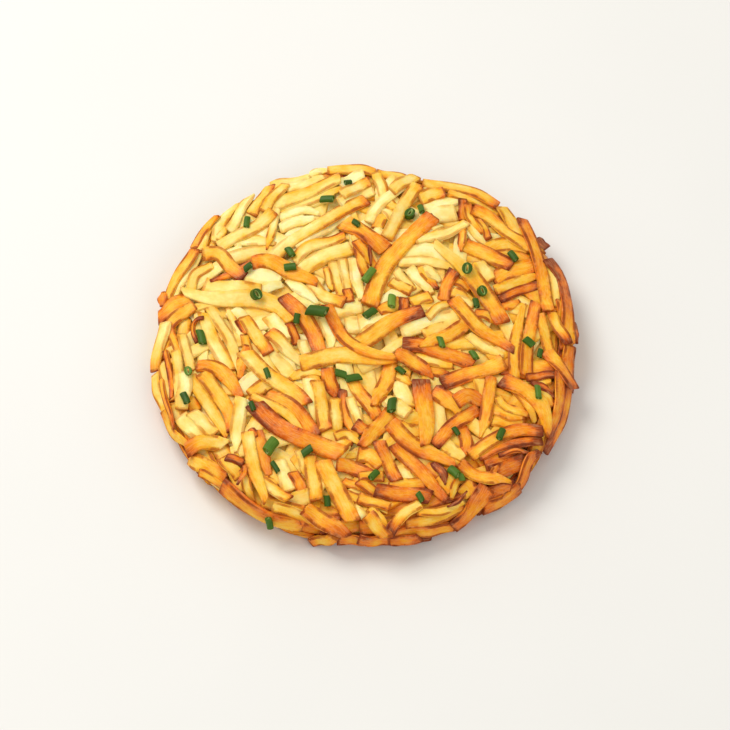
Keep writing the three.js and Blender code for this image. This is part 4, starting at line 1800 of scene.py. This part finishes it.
# %% Rows of chives
CHIVES = (
    # place in the picture, heading in degrees, length, width, stood up by degrees, paleness 0 to 9
    ((327, 199), -5, 13, 9, 0, 3), ((348, 182), 24, 8, 6, 0, 1), ((247, 222), 82, 12, 7, 0, 4),
    ((356, 223), -42, 9, 7, 0, 1), ((290, 252), -58, 11, 8, 12, 3), ((290, 267), 3, 12, 9, 0, 3),
    ((248, 267), 25, 9, 8, 0, 1), ((256, 294), -45, 8, 13, 74, 2), ((317, 311), -8, 19, 13, 8, 2),
    ((297, 318), 80, 10, 7, 0, 2), ((201, 337), -75, 15, 9, 0, 3), ((369, 275), 52, 17, 9, 6, 6),
    ((410, 214), 58, 6, 13, 78, 2), ((421, 209), -78, 13, 7, 0, 4), ((513, 256), -55, 12, 8, 0, 2),
    ((467, 268), -98, 7, 13, 58, 2), ((482, 291), -60, 7, 12, 62, 3), ((476, 303), -80, 10, 7, 0, 1),
    ((392, 301), 86, 14, 9, 0, 7), ((370, 313), 35, 13, 9, 0, 2), ((441, 342), -72, 11, 7, 0, 5),
    ((474, 355), -58, 10, 7, 0, 5), ((529, 342), -35, 11, 9, 0, 3), ((540, 354), 78, 9, 6, 10, 2),
    ((188, 371), -80, 5, 10, 68, 6), ((185, 398), -65, 12, 8, 10, 1), ((267, 373), -70, 11, 6, 0, 2),
    ((252, 406), -68, 10, 6, 0, 1), ((271, 446), 58, 17, 13, 0, 5), ((307, 451), 32, 12, 9, 8, 2),
    ((275, 467), -58, 13, 6, 0, 1), ((327, 501), -84, 11, 7, 0, 2), ((268, 525), -36, 12, 8, 0, 4),
    ((341, 374), -15, 12, 9, 10, 3), ((353, 378), 12, 15, 9, 0, 3), ((401, 368), -38, 9, 7, 0, 2),
    ((392, 405), 84, 15, 10, 0, 2), ((456, 431), -55, 9, 6, 0, 1), ((501, 434), 68, 13, 8, 0, 2),
    ((538, 392), -86, 15, 7, 0, 5), ((454, 472), -48, 13, 10, 30, 4), ((461, 477), -60, 8, 7, 0, 6),
    ((374, 475), 52, 12, 8, 0, 3), ((420, 497), -60, 10, 7, 0, 3),
)
print(len(CHIVES), "chives")

# %% Scatter them
LEAF_BEND = 0.12
CUT_SLANTS = (-0.45, 0.45)
STANDS = 45
ROUNDER = 0.88
CHIVE_SEEDS = 50


def chive_copy(point, turned, points_long, points_wide, stood_up, paleness):
    """A chive as its row says, shaped and resting on the strips."""
    length = points_long * POINT
    radius = points_wide * POINT / 2
    lift = math.radians(stood_up)
    step = heading(math.radians(-turned)) * points_long / 2
    forward = unit(place_at(point + step) - place_at(point - step)) * length / 2

    def spots_on(places):
        return [chive_rest(places[0], forward, radius, length, lift)[0]]

    place = settled([point], spots_on)[0]
    centre, along, across, rise = chive_rest(place, forward, radius, length, lift)
    mesh = chive.data.copy()
    x, y, z = corners_of(mesh).T
    set_vectors(mesh, "grain", x, y, z)
    bow = LEAF_BEND * radius * (1 - z**2)
    aslant = x * z**2 * radius * rng.uniform(*CUT_SLANTS) * math.cos(lift)
    if stood_up > STANDS:
        x, y = x * ROUNDER, y / CHIVE_SQUASH
    solid = centre + np.outer(z * length / 2 + aslant, along) + np.outer(x * radius + bow, across)
    solid = pressed_in(solid + np.outer(y * radius * CHIVE_SQUASH, rise))
    mesh.vertices.foreach_set("co", solid.ravel())
    set_vectors(mesh, "tone", paleness * TONE_STEP, rng.uniform(0, CHIVE_SEEDS), 0.0)
    return put_in_scene("chive", mesh)


chives = [chive_copy(*row) for row in CHIVES]
join_copies("chives", chives, fresh_chive("fresh_chive"))

# %% [markdown]
# ## The end
# The finished cake has to fill the same box as the engineering model. The patterns have done
# their work and are taken away.

# %% End
for pattern in (chive, *PATTERNS.values()):
    bpy.data.objects.remove(pattern)
